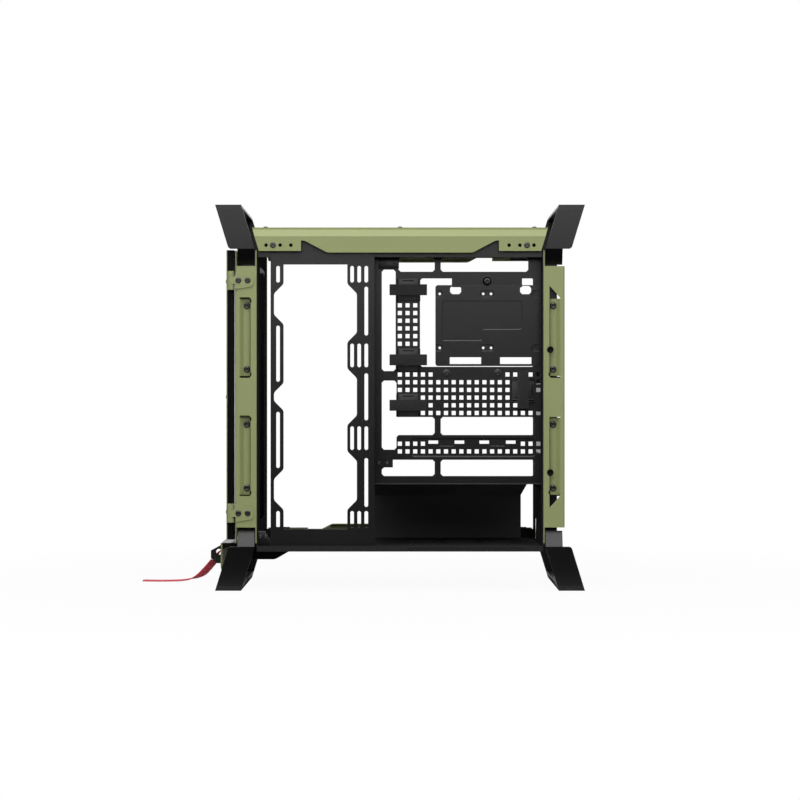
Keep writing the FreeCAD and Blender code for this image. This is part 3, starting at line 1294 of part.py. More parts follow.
def make_front_end():
    """The bumper, its bracket, the skid plate and the tow eye with its strap."""
    face = -S.bumper_face
    half = S.bumper_width / 2
    r = S.bumper_round
    low, high = S.bumper_bottom, S.bumper_top
    outline = [(-half, low, r), (half, low, r), (half, high), (-half, high)]
    back = face + S.bumper_thickness
    node("front_bumper", pad("bumper", "YZ", [outline], (face, back)))
    bracket = S.bumper_bracket_width / 2
    node("bumper_bracket", block("bumper_shelf", (back, -half_length), (-bracket, bracket),
                                 (S.bumper_top - S.bumper_bracket_height, S.bumper_top)))
    start, t = -inner_length, S.skid_gauge
    bottom, half_skid = S.floor_level - S.skid_drop, S.skid_width / 2
    bend = S.skid_drop

    def skid(name, inset, across):
        """The skid plate's side view set in by a wall, padded across the case."""
        front, back = -half_length - S.skid_reach + inset, start + inset
        rear, shelf = start + S.skid_length - inset * 2, S.floor_level - inset
        outline = [
            (front, shelf), (front, bottom + inset), (start + S.skid_flat, bottom + inset, bend),
            (rear, S.floor_level), (rear, floor_bottom), (back, floor_bottom), (back, shelf),
        ]
        return pad(name, "XZ", [outline], (-across, across))

    hollow = skid("skid_hollow", t, half_skid - t)
    node("skid_plate", cut("skid_shell", skid("skid_form", as_size(0), half_skid), hollow))
    make_tow_eye(face)


def make_tow_eye(face):
    """The tapering tow eye on the bumper, and the webbing strap that hangs from it."""
    tip, low = face - S.eye_length, S.eye_bottom
    nose = low + S.eye_nose_rise
    outline = [
        (face, low), (tip + S.eye_nose_run, low), (tip, nose), (tip, nose + S.eye_nose_height),
        (face, low + S.eye_height),
    ]
    faces = (S.eye_offset - S.eye_thickness / 2, S.eye_offset + S.eye_thickness / 2)
    hole = (face - S.eye_hole_start, S.eye_hole_level, S.eye_hole, BUTTON_SIDES)
    node("tow_eye", pad("eye_plate", "XZ", [outline], faces, [hole]))
    strap = doc.addObject("Part::Feature", "webbing")
    strap.Shape = webbing(STRAP_ROUTE, S.strap_web_width.value, S.strap_web_gauge.value)
    strap.Placement = Placement(Vector(0, S.eye_offset.value, 0), Rotation())
    node("tow_strap", strap)


def webbing(route, width, gauge):
    """A flat strap swept along straight runs joined by arcs as large as the runs allow."""
    places = [Vector(x, 0, z) for x, z in route]
    edges, last = [], places[0]
    for before, place, after in zip(places, places[1:], places[2:]):
        back, ahead = before - place, after - place
        run = BEND_SHARE * min(back.Length, ahead.Length)
        turn = math.pi - back.getAngle(ahead)
        radius = run / math.tan(turn / 2)
        reached = place + Vector(back).normalize() * run
        left = place + Vector(ahead).normalize() * run
        inward = (Vector(back).normalize() + Vector(ahead).normalize()).normalize()
        middle = place + inward * (radius / math.cos(turn / 2) - radius)
        edges += [Part.LineSegment(last, reached).toShape(), Part.Arc(reached, middle, left).toShape()]
        last = left
    edges.append(Part.LineSegment(last, places[-1]).toShape())
    path = Part.Wire(edges)
    along = (places[1] - places[0]).normalize()
    side = Vector(0, width / 2, 0)
    up = along.cross(Vector(0, 1, 0)).normalize() * (gauge / 2)
    corners = [places[0] + s for s in (side + up, up - side, -side - up, side - up)]
    profile = Part.makePolygon(corners + corners[:1])
    return path.makePipeShell([profile], True, False)


def make_top():
    """The top panel with its buttons and ports, and the top mesh."""
    top = roof_level + S.panel_height
    lid_bottom = top - S.panel_wall
    x = (S.panel_start, S.panel_start + S.panel_length)
    y = (-shelf_edge + S.panel_side_gap, shelf_edge - S.panel_side_gap)
    middle = S.panel_start + S.panel_length / 2
    wall = S.panel_wall
    walls = [rectangle(x, y), rectangle((x[0] + wall, x[1] - wall), (y[0] + wall, y[1] - wall))]
    holes, shells, stops = [], [], []
    buttons = (("power", S.power_offset, S.power_radius), ("reset", S.reset_offset, S.reset_radius))
    for name, offset, radius in buttons:
        holes.append((middle, offset, radius + S.button_gap, BUTTON_SIDES))
        rim_top = lid_bottom - S.button_gap
        rim_bottom = rim_top - S.button_depth
        node(f"{name}_button", fuse(
            f"{name}_parts",
            rod(f"{name}_cap", "z", (middle, offset), radius, (rim_top, top + S.button_rise), BUTTON_SIDES),
            rod(f"{name}_rim", "z", (middle, offset), radius + S.button_flange, (rim_bottom, rim_top),
                BUTTON_SIDES),
        ))
        half = radius / 2
        stops.append(block(f"{name}_switch", (middle - half, middle + half), (offset - half, offset + half),
                           (roof_level, rim_bottom - S.button_travel - S.button_gap)))
    cutouts = []
    depth = top - S.port_depth
    ports = [
        (S.usb_offset, S.usb_width, S.usb_length),
        (S.usb_offset + S.port_pitch, S.usb_width, S.usb_length),
        (S.usb_offset + S.port_pitch * 2, S.slim_width, S.slim_length),
    ]
    for i, (offset, width, length) in enumerate(ports):
        span = [(middle - length / 2, middle + length / 2), (offset - width / 2, offset + width / 2)]
        hollow = [(low + S.port_wall, high - S.port_wall) for low, high in span]
        cutouts.append(rectangle(*[(low - S.port_gap, high + S.port_gap) for low, high in span]))
        shells.append(cut(f"port_{i}", block(f"port_shell_{i}", *span, (depth, top)),
                          block(f"port_hollow_{i}", *hollow, (depth + S.port_wall, top + S.port_wall))))
    jack = (middle, S.usb_offset + S.port_pitch * 3)
    holes.append((*jack, S.jack_radius + S.port_gap, BARREL_SIDES))
    bore = (depth + S.port_wall, top + S.port_wall)
    shells.append(cut("jack", rod("jack_shell", "z", jack, S.jack_radius, (depth, top), BARREL_SIDES),
                      rod("jack_hollow", "z", jack, S.jack_bore, bore, BARREL_SIDES)))
    lid = pad("panel_lid", "XY", [rectangle(x, y), *cutouts], (lid_bottom, top), holes)
    node("top_panel", fuse("panel_shell", pad("panel_walls", "XY", walls, (roof_level, top)), lid))
    node("button_switches", group("switches", stops))
    node("top_ports", group("ports", shells))
    screen_top = shelf_bottom - S.top_mesh_gap
    edge = shelf_edge + S.top_mesh_overlap
    node("top_mesh", block("top_screen", (S.top_mesh_start, inner_length), (-edge, edge),
                           (screen_top - S.mesh_thickness, screen_top)))


def check_and_write():
    """Stops on any failed object, then writes each named piece to its file."""
    doc.recompute()
    failed = [item.Name for item in doc.Objects if {"Invalid", "Error"} & set(item.State)]
    if failed:
        raise RuntimeError(f"failed objects: {failed}")
    for item in nodes:
        if item.Shape.isNull() or not item.Shape.isValid() or not item.Shape.Solids:
            raise RuntimeError(f"bad shape: {item.Label}")
    os.makedirs("parts", exist_ok=True)
    for item in nodes:
        item.Shape.exportStep(f"parts/{item.Label}.step")


make_cage()
make_columns()
make_floor()
make_walls()
make_tray()
make_drive_plate()
make_straps()
make_shroud()
make_fan_bracket()
make_beams()
make_hinges()
make_door()
make_front_end()
make_top()
check_and_write()
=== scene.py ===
"""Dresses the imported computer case: its finishes, fasteners, straps, small parts and studio."""

from __future__ import annotations

import json
import logging
import math
from dataclasses import dataclass
from enum import Enum
from typing import Optional, Sequence, Union

import bmesh
import bpy
from mathutils import Matrix, Vector

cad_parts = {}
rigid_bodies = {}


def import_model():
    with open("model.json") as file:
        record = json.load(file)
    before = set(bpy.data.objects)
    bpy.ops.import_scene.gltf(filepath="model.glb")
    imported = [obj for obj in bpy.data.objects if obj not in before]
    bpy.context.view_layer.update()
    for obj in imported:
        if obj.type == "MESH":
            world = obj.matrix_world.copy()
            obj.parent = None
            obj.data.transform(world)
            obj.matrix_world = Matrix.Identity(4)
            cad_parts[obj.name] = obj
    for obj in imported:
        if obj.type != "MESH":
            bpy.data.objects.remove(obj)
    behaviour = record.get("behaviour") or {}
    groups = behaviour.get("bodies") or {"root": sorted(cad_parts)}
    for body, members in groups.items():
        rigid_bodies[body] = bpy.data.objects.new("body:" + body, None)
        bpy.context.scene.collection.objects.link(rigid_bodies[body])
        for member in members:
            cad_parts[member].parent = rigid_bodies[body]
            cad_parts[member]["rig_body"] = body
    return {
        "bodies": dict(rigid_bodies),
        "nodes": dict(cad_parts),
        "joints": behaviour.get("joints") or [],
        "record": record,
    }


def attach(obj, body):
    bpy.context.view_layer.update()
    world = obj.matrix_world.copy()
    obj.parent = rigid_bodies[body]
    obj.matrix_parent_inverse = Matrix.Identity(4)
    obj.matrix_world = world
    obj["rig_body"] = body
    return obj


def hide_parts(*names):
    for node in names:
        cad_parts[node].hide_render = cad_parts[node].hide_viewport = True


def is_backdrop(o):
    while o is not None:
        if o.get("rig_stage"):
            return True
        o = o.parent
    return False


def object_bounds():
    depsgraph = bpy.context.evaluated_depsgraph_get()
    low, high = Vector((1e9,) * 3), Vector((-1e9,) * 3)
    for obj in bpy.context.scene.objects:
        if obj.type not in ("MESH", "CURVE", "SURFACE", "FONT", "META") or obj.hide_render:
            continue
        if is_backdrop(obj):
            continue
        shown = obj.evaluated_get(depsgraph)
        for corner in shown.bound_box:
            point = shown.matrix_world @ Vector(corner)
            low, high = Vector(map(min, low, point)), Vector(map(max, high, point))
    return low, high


log = logging.getLogger("computer_case")

MM = 0.001
WELD = 1e-6
FACING = 0.9
SOFT_SHARE = 0.3
EDGE_GAIN = 5

Operand = Union["Value", int, float]
Colour = tuple[float, float, float]
Triple = tuple[float, float, float]
Point = tuple[float, float]
Shape = bmesh.types.BMesh
Socket = bpy.types.NodeSocket
Material = bpy.types.Material


class Value:
    """A number that changes over a surface; its operators add Math nodes."""

    def __init__(self, graph: Graph, socket: Socket) -> None:
        """Wraps an output socket of a graph."""
        self.graph = graph
        self.socket = socket

    def _math(self, operation: str, *operands: Operand) -> Value:
        """The result of one Math node, with operands in the node's order."""
        node = self.graph.node("ShaderNodeMath", {"operation": operation}, dict(enumerate(operands)))
        return Value(self.graph, node.outputs[0])

    def __add__(self, other: Operand) -> Value:
        """This plus another."""
        return self._math("ADD", self, other)

    def __sub__(self, other: Operand) -> Value:
        """This minus another."""
        return self._math("SUBTRACT", self, other)

    def __rsub__(self, other: Operand) -> Value:
        """Another minus this."""
        return self._math("SUBTRACT", other, self)

    def __mul__(self, other: Operand) -> Value:
        """This times another."""
        return self._math("MULTIPLY", self, other)

    def __truediv__(self, other: Operand) -> Value:
        """This over another."""
        return self._math("DIVIDE", self, other)

    def __pow__(self, other: Operand) -> Value:
        """This to a power."""
        return self._math("POWER", self, other)

    def __gt__(self, other: Operand) -> Value:
        """1 where this is greater, 0 elsewhere."""
        return self._math("GREATER_THAN", self, other)

    def fract(self) -> Value:
        """The part after the point."""
        return self._math("FRACT", self)

    def sine(self) -> Value:
        """The sine of an angle in radians."""
        return self._math("SINE", self)

    def absolute(self) -> Value:
        """The distance from zero."""
        return self._math("ABSOLUTE", self)

    def least(self, other: Operand) -> Value:
        """The smaller of two."""
        return self._math("MINIMUM", self, other)

    def most(self, other: Operand) -> Value:
        """The larger of two."""
        return self._math("MAXIMUM", self, other)

    def clamped(self) -> Value:
        """This kept between 0 and 1."""
        return self.most(0).least(1)


class Graph:
    """The node tree of a material or of the world."""

    def __init__(self, owner: Union[Material, bpy.types.World]) -> None:
        """Starts an empty node tree.

        Args:
            owner: A new material or world.
        """
        self.owner = owner
        owner.use_nodes = True
        self.tree = owner.node_tree
        self.tree.nodes.clear()

    @classmethod
    def of_material(cls, name: str) -> Graph:
        """Starts a new material of that name."""
        return cls(bpy.data.materials.new(name))

    def node(self, kind: str, settings: Optional[dict] = None, inputs: Optional[dict] = None) -> bpy.types.Node:
        """Adds one node.

        Args:
            kind: The node's type.
            settings: Properties that are set before its sockets.
            inputs: Socket names or numbers to values, sockets or Values.

        Returns:
            The node.
        """
        made = self.tree.nodes.new(kind)
        for key, setting in (settings or {}).items():
            setattr(made, key, setting)
        for key, given in (inputs or {}).items():
            socket = made.inputs[key]
            if isinstance(given, Value):
                given = given.socket
            if isinstance(given, Socket):
                self.tree.links.new(given, socket)
            else:
                socket.default_value = given
        return made

    def rays(self) -> tuple[Value, Value, Value]:
        """Masks that are 1 for rays of the camera, of gloss and of glass."""
        outputs = self.node("ShaderNodeLightPath").outputs
        return tuple(Value(self, outputs[f"Is {kind} Ray"]) for kind in ("Camera", "Glossy", "Transmission"))

    def place(self) -> Socket:
        """Where a point lies on the case, in metres."""
        return self.node("ShaderNodeTexCoord").outputs["Object"]

    def parts(self, vector: Socket) -> tuple[Value, Value, Value]:
        """The three parts of a vector."""
        split = self.node("ShaderNodeSeparateXYZ", None, {0: vector})
        return tuple(Value(self, output) for output in split.outputs)

    def noise(self, scale: float, detail: float = 2.0, rough: float = 0.5) -> Value:
        """Soft noise over the case, features per metre given by scale."""
        inputs = {"Vector": self.place(), "Scale": scale, "Detail": detail, "Roughness": rough}
        return Value(self, self.node("ShaderNodeTexNoise", None, inputs).outputs["Fac"])

    def blend(self, amount: Operand, first: object, second: object) -> Socket:
        """One colour fading into another."""
        made = self.node("ShaderNodeMix", {"data_type": "RGBA"}, {0: amount, 6: first, 7: second})
        return made.outputs[2]

    def edges(self, radius: float) -> tuple[Socket, Value]:
        """Softened edges.

        Args:
            radius: How far from an edge they reach, in metres.

        Returns:
            The softened normal, and a mask that is 1 on the edges.
        """
        soft = self.node("ShaderNodeBevel", {"samples": 4}, {"Radius": radius}).outputs["Normal"]
        flat = self.node("ShaderNodeNewGeometry").outputs["Normal"]
        dot = self.node("ShaderNodeVectorMath", {"operation": "DOT_PRODUCT"}, {0: soft, 1: flat})
        return soft, ((1 - Value(self, dot.outputs["Value"])) * EDGE_GAIN).clamped()

    def bump(self, height: Value, depth: float, normal: Optional[Socket] = None) -> Socket:
        """A bumped normal.

        Args:
            height: The bumps, from 0 to 1.
            depth: How high 1 stands, in metres.
            normal: The normal that is bumped; by default the surface's own.

        Returns:
            The normal.
        """
        inputs = {"Height": height, "Distance": depth, "Strength": 1.0}
        if normal is not None:
            inputs["Normal"] = normal
        return self.node("ShaderNodeBump", None, inputs).outputs["Normal"]

    def finish(self, inputs: dict) -> Material:
        """Ends the tree in one Principled shader.

        Args:
            inputs: The shader's sockets and what they take.

        Returns:
            The material.
        """
        shader = self.node("ShaderNodeBsdfPrincipled", None, inputs)
        self.node("ShaderNodeOutputMaterial", None, {"Surface": shader.outputs[0]})
        return self.owner


def opaque(colour: Colour) -> tuple[float, float, float, float]:
    """A colour with full alpha, as sockets take it."""
    return (*colour, 1.0)


@dataclass(frozen=True)
class PowderCoat:
    """Powder-coated sheet metal: fine grain, soft edges that catch light and slight wear."""

    name: str
    colour: Colour
    worn: Colour
    roughness: float = 0.5
    gloss: float = 0.5
    grain: float = 1500.0
    grain_depth: float = 0.00006
    edge: float = 0.0007
    wear: float = 0.35
    clouds: float = 7.0
    scuffs: float = 60.0
    shade: float = 0.86

    def build(self) -> Material:
        """Makes the material.

        Returns:
            The material.
        """
        graph = Graph.of_material(self.name)
        grain = graph.noise(self.grain, 3.0, 0.6)
        clouds = graph.noise(self.clouds, 3.0)
        normal, rim = graph.edges(self.edge)
        scuffs = graph.noise(self.scuffs, 4.0, 0.7)
        deep = tuple(self.shade * part for part in self.colour)
        body = graph.blend(clouds * 0.6 + grain * 0.4, opaque(deep), opaque(self.colour))
        rough = grain * 0.16 + clouds * 0.08 + (self.roughness - 0.12)
        worn = (rim * (scuffs * 1.6 - 0.3)).clamped() * self.wear
        return graph.finish({
            "Base Color": graph.blend(worn, body, opaque(self.worn)),
            "Roughness": rough.clamped(),
            "Normal": graph.bump(grain, self.grain_depth, normal),
            "Specular IOR Level": self.gloss,
        })


@dataclass(frozen=True)
class Field:
    """A rounded rectangle in the plane of a sheet, with its two corners in millimetres."""

    low: Point
    high: Point
    corner: float

    def distance(self, along: Value, up: Value) -> Value:
        """How far a point is outside the rectangle's edge.

        Args:
            along: Where the point lies along the sheet, in millimetres.
            up: Where it lies up the sheet.

        Returns:
            The distance in millimetres, less than 0 inside.
        """
        gaps = []
        for part, low, high in zip((along, up), self.low, self.high):
            gaps.append((part - (low + high) / 2).absolute() - ((high - low) / 2 - self.corner))
        outside = (gaps[0].most(0) ** 2 + gaps[1].most(0) ** 2) ** 0.5
        return outside + gaps[0].most(gaps[1]).least(0) - self.corner


@dataclass(frozen=True)
class Moulding:
    """Moulded plastic or rubber with a fine eroded grain, random paler patches and a painted highlight on its edges."""

    name: str
    colour: Colour
    roughness: float
    grain: float = 2200.0
    grain_depth: float = 0.00008
    edge: float = 0.0005
    clouds: float = 25.0

    def build(self) -> Material:
        """Makes the material.

        Returns:
            The material.
        """
        graph = Graph.of_material(self.name)
        grain = graph.noise(self.grain, 2.0)
        clouds = graph.noise(self.clouds, 3.0)
        soft, rim = graph.edges(self.edge)
        pale_tone_and_edge_highlight = tuple(min(1.0, 1.8 * part + 0.01) for part in self.colour)
        # Paler on the edges as a painted highlight, and in random patches from the clouds.
        tone = graph.blend((clouds * 0.4 + rim * 0.3).clamped(), opaque(self.colour), opaque(pale_tone_and_edge_highlight))
        return graph.finish({
            "Base Color": tone,
            "Roughness": grain * 0.2 + (self.roughness - 0.1),
            "Normal": graph.bump(grain, self.grain_depth, soft),
        })


@dataclass(frozen=True)
class RibbedRubber:
    """Rubber foot strip with ribs across the case's length."""

    name: str
    colour: Colour
    pitch: float = 0.004
    depth: float = 0.0003
    dust: float = 40.0
    grain: float = 1800.0

    def build(self) -> Material:
        """Makes the material.

        Returns:
            The material.
        """
        graph = Graph.of_material(self.name)
        _, across, _ = graph.parts(graph.place())
        ribs = (across * (2 * math.pi / self.pitch)).sine() * 0.5 + 0.5
        dust = graph.noise(self.dust, 4.0, 0.65)
        pale = tuple(part + 0.02 for part in self.colour)
        return graph.finish({
            "Base Color": graph.blend((dust * 0.5).clamped(), opaque(self.colour), opaque(pale)),
            "Roughness": dust * 0.15 + 0.7,
            "Normal": graph.bump(ribs + graph.noise(self.grain) * 0.3, self.depth),
        })


@dataclass(frozen=True)
class BlackSteel:
    """Black-oxide fastener steel, turned, with a painted highlight on its edges."""

    name: str
    colour: Colour = (0.08, 0.078, 0.08)
    roughness: float = 0.24
    metallic: float = 0.75
    edge: float = 0.0003
    brushing: float = 900.0
    brushing_depth: float = 0.00002

    def build(self) -> Material:
        """Makes the material.

        Returns:
            The material.
        """
        graph = Graph.of_material(self.name)
        soft, rim = graph.edges(self.edge)
        brushed = graph.noise(self.brushing, 3.0, 0.7)
        # Paler colour on the edges is a painted highlight; the brushing adds a little random tone.
        painted_edge_highlight = tuple(part + 0.2 for part in self.colour)
        return graph.finish({
            "Base Color": graph.blend((rim * 0.6 + brushed * 0.05).clamped(), opaque(self.colour), opaque(painted_edge_highlight)),
            "Roughness": brushed * 0.2 + (self.roughness - 0.08),
            "Normal": graph.bump(brushed, self.brushing_depth, soft),
            "Metallic": self.metallic,
        })


class SheetPlane(Enum):
    """The two axes in which a perforated sheet lies."""

    UPRIGHT = (1, 2)
    FLAT = (0, 1)


@dataclass(frozen=True)
class Perforated:
    """Thin black sheet with close round holes in staggered rows, inside an area of it, with painted shade around each
    hole.
    """

    name: str
    colour: Colour
    plane: SheetPlane
    area: Field
    pitch: float = 0.0036
    hole: float = 0.0013
    depth: float = 0.0002
    grain: float = 1200.0

    def build(self) -> Material:
        """Makes the material.

        Returns:
            The material.
        """
        graph = Graph.of_material(self.name)
        parts = graph.parts(graph.place())
        first, second = (parts[index] for index in self.plane.value)
        steps = (self.pitch, self.pitch * math.sqrt(3))

        def distance(shift: float) -> Value:
            """How far a point is from the nearest hole of one of the two lattices."""
            u, v = (((part / step + shift).fract() - 0.5) * step for part, step in zip((first, second), steps))
            return (u ** 2 + v ** 2) ** 0.5

        gap = distance(0.0).least(distance(0.5))
        rim = ((gap - self.hole) / (self.pitch * 0.3)).clamped()
        grain = graph.noise(self.grain)
        # Darker towards each hole's edge: painted shade; the grain adds random tone.
        deep = tuple(0.6 * part for part in self.colour)
        return graph.finish({
            "Base Color": graph.blend(rim * 0.7 + grain * 0.3, opaque(deep), opaque(self.colour)),
            "Roughness": grain * 0.2 + 0.45,
            "Alpha": (gap > self.hole).most(self.area.distance(first / MM, second / MM) > 0),
            "Normal": graph.bump(rim, self.depth),
        })


@dataclass(frozen=True)
class Webbing:
    """Woven strap: twill ribs along its UV map and darker edges; their dark colour is a shaded copy of the red, painted
    shade.
    """

    name: str
    colour: Colour
    shade: Colour
    rib: float = 0.0016
    width: float = 0.018
    selvedge: float = 0.86
    fuzz: float = 2600.0
    depth: float = 0.0003
    sheen: float = 0.25

    def build(self) -> Material:
        """Makes the material.

        Returns:
            The material.
        """
        graph = Graph.of_material(self.name)
        chart = graph.node("ShaderNodeTexCoord").outputs["UV"]
        across, along, _ = graph.parts(chart)
        turn = 2 * math.pi / self.rib
        warp = ((across + along * 0.5) * turn).sine() * 0.5 + 0.5
        weft = ((along - across * 0.35) * turn * 0.8).sine() * 0.5 + 0.5
        weave = warp * weft
        selvedge = ((across / self.width - 0.5).absolute() * 2 - self.selvedge) > 0
        fuzz = graph.noise(self.fuzz, 3.0)
        # Toward the shade colour in the weave's hollows and on the edges: painted shade; the fuzz adds random tone.
        tone = (weave * 0.75 + fuzz * 0.35 - selvedge * 0.25).clamped()
        return graph.finish({
            "Base Color": graph.blend(tone, opaque(self.shade), opaque(self.colour)),
            "Roughness": 0.85 - weave * 0.15,
            "Normal": graph.bump(weave + fuzz * 0.4, self.depth),
            "Sheen Weight": self.sheen,
        })


@dataclass(frozen=True)
class HookAndLoop:
    """Black brushed hook-and-loop tape with short fibres."""

    name: str
    colour: Colour
    fibres: float = 1900.0
    naps: float = 260.0
    depth: float = 0.0005
    sheen: float = 0.3

    def build(self) -> Material:
        """Makes the material.

        Returns:
            The material.
        """
        graph = Graph.of_material(self.name)
        fibres = graph.noise(self.fibres, 4.0, 0.8)
        naps = graph.noise(self.naps, 3.0, 0.6)
        pale = tuple(2.4 * part + 0.006 for part in self.colour)
        return graph.finish({
            "Base Color": graph.blend((fibres * 0.6 + naps * 0.3).clamped(), opaque(self.colour), opaque(pale)),
            "Roughness": fibres * 0.15 + 0.8,
            "Normal": graph.bump(fibres + naps * 0.6, self.depth),
            "Sheen Weight": self.sheen,
        })


class Finishes:
    """Every finish of the case, made once."""

    def __init__(self) -> None:
        """Makes the materials."""
        olive, black, mesh = (0.262, 0.292, 0.12), (0.005, 0.0049, 0.005), (0.012, 0.012, 0.012)
        self.olive = PowderCoat("olive_powder_coat", olive, (0.42, 0.45, 0.27), 0.5).build()
        self.cage = PowderCoat("cage_black", (0.0025, 0.0024, 0.0025), (0.06, 0.06, 0.06), 0.32, 0.68).build()
        self.sheet = PowderCoat("sheet_black", black, (0.06, 0.06, 0.06), 0.38, 0.75).build()
        self.drive = PowderCoat("drive_plate_black", black, (0.08, 0.08, 0.08), 0.36, 0.85).build()
        # A lighter copy of the black sheet for the frame, rear panel and floor deep inside: painted light.
        self.inner = PowderCoat("inner_black_painted_light", (0.026, 0.0256, 0.026), (0.04, 0.04, 0.04), 0.55, 0.0).build()
        self.matt = PowderCoat("matt_black", (0.002, 0.002, 0.002), (0.02, 0.02, 0.02), 0.55, 0.12).build()
        # A lighter copy of the black sheet for the shroud, which lies in deep shade: painted light.
        self.shroud = PowderCoat("shroud_black_painted_light", (0.04, 0.0394, 0.04), (0.06, 0.06, 0.06), 0.45).build()
        # Near-black and barely glossy: painted shade for holes, slits, grooves and the ring under the drive plate's
        # screw.
        self.hole = PowderCoat("hole_painted_shade", (0.001, 0.001, 0.001), (0.002, 0.002, 0.002), 0.8, 0.02).build()
        self.plastic = Moulding("moulded_black", (0.013, 0.0128, 0.013), 0.4).build()
        self.rubber = RibbedRubber("foot_rubber", (0.004, 0.004, 0.004)).build()
        self.steel = BlackSteel("black_steel").build()
        window = Field((-86.0, 95.0), (86.5, 456.5), 6.0)
        self.door_mesh = Perforated("door_mesh_black", mesh, SheetPlane.UPRIGHT, window).build()
        window = Field((-145.0, -80.0), (195.8, 80.0), 6.0)
        self.top_mesh = Perforated("top_mesh_black", mesh, SheetPlane.FLAT, window).build()
        window = Field((21.0, -107.8), (167.0, 63.0), 2.0)
        self.filter_mesh = Perforated("filter_mesh_black", mesh, SheetPlane.FLAT, window).build()
        # The webbing's second colour is a shaded copy of its red: painted shade.
        self.webbing = Webbing("red_webbing", (0.86, 0.055, 0.11), (0.6, 0.025, 0.055)).build()
        self.tape = HookAndLoop("hook_and_loop_black", (0.003, 0.003, 0.003)).build()

    def of_node(self, node: str) -> Material:
        """The finish of a CAD node that shows as it is.

        Args:
            node: The node's name.

        Returns:
            The material of the first rule that has a word of the name.
        """
        if node.endswith(("column", "top_beam", "sill", "door_skin", "front_bumper", "leaf")):
            return self.olive
        rules = (
            (self.steel, ("screw", "pins", "studs", "catches")),
            (self.rubber, ("foot_pad",)),
            (self.door_mesh, ("door_mesh",)),
            (self.top_mesh, ("top_mesh",)),
            (self.filter_mesh, ("psu_filter",)),
            (self.drive, ("drive_plate",)),
            (self.cage, ("cage", "handle", "foot_bar", "bumper_bracket", "tow_eye")),
            (self.plastic, ("strap_bases", "top_panel", "_button", "button_switches", "top_ports")),
            (self.shroud, ("psu_shroud",)),
            (self.matt, ("door_frame", "skid_plate")),
            (self.inner, ("front_frame", "rear_panel", "floor_pan")),
        )
        for material, words in rules:
            if any(word in node for word in words):
                return material
        return self.sheet


@dataclass(frozen=True)
class Box:
    """The lowest and highest corners of a solid."""

    low: Vector
    high: Vector

    @property
    def centre(self) -> Vector:
        """The middle of the box."""
        return (self.low + self.high) / 2

    @property
    def size(self) -> Vector:
        """The box's three sides."""
        return self.high - self.low

    @property
    def thin_axis(self) -> int:
        """The axis along which the box is thinnest."""
        return min(range(3), key=lambda axis: self.size[axis])


class CadFrame:
    """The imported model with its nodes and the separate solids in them."""

    def __init__(self) -> None:
        """Loads the frame."""
        self.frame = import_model()
        self.nodes: dict[str, bpy.types.Object] = self.frame["nodes"]
        self.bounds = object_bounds()

    def body(self, node: str) -> str:
        """The body that a node belongs to."""
        return self.nodes[node]["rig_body"]

    def solids(self, node: str) -> list[Box]:
        """The boxes of a node's separate solids.

        Args:
            node: The node's name.

        Returns:
            One box for each solid, in a fixed order.
        """
        bm = bmesh.new()
        bm.from_mesh(self.nodes[node].data)
        bmesh.ops.remove_doubles(bm, verts=bm.verts, dist=WELD)
        left = set(bm.verts)
        boxes = []
        while left:
            island, front = set(), [left.pop()]
            while front:
                vert = front.pop()
                island.add(vert)
                near = {edge.other_vert(vert) for edge in vert.link_edges} & left
                left -= near
                front.extend(near)
            places = [vert.co for vert in island]
            low = Vector([min(p[axis] for p in places) for axis in range(3)])
            high = Vector([max(p[axis] for p in places) for axis in range(3)])
            boxes.append(Box(low, high))
        bm.free()
        return sorted(boxes, key=lambda box: tuple(round(part, 5) for part in box.centre))

    def dress(self, finishes: Finishes) -> None:
        """Gives every CAD node its finish.

        Args:
            finishes: What it chooses from.
        """
        for name, item in self.nodes.items():
            item.data.materials.clear()
            item.data.materials.append(finishes.of_node(name))


@dataclass
class Assembly:
    """A group of pieces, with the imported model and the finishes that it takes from."""

    cad: CadFrame
    finishes: Finishes


def mesh_of(name: str, bm: Shape) -> bpy.types.Mesh:
    """Turns a bmesh into a mesh.

    Args:
        name: The mesh's name.
        bm: Its shape, which is freed.

    Returns:
        The mesh.
    """
    mesh = bpy.data.meshes.new(name)
    bm.to_mesh(mesh)
    bm.free()
    return mesh


def linked(name: str, data: bpy.types.ID) -> bpy.types.Object:
    """Adds an object to the scene.

    Args:
        name: The object's name.
        data: Its mesh, curve, camera or light.

    Returns:
        The object.
    """
    item = bpy.data.objects.new(name, data)
    bpy.context.scene.collection.objects.link(item)
    return item


def add_piece(
    name: str,
    bm: Shape,
    body: str,
    material: Material,
    replaced: Sequence[str] = (),
    sharp: float = 35.0,
) -> bpy.types.Object:
    """Turns a bmesh into a piece that rides on a body.

    Args:
        name: The piece's name.
        bm: Its shape, which is freed.
        body: The body that it moves with.
        material: Its finish.
        replaced: CAD nodes that it stands for.
        sharp: Edges at a larger angle than this, in degrees, stay sharp.

    Returns:
        The piece.
    """
    bmesh.ops.recalc_face_normals(bm, faces=bm.faces)
    mesh = mesh_of(name, bm)
    mesh.shade_smooth()
    mesh.set_sharp_from_angle(angle=math.radians(sharp))
    mesh.materials.append(material)
    piece = linked(name, mesh)
    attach(piece, body)
    if replaced:
        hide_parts(*replaced)
    log.info("piece %s on %s: %d faces", name, body, len(mesh.polygons))
    return piece


def turned_to(outward: Vector, place: Vector) -> Matrix:
    """Takes a shape that points up at the origin to a place, pointing outward."""
    return Matrix.Translation(place) @ Vector((0, 0, 1)).rotation_difference(outward).to_matrix().to_4x4()


@dataclass(frozen=True)
class Ring:
    """One ring of a turned shape: its radius and height as shares of the shape's, and its sides."""

    radius: float
    height: float
    sides: int = 20


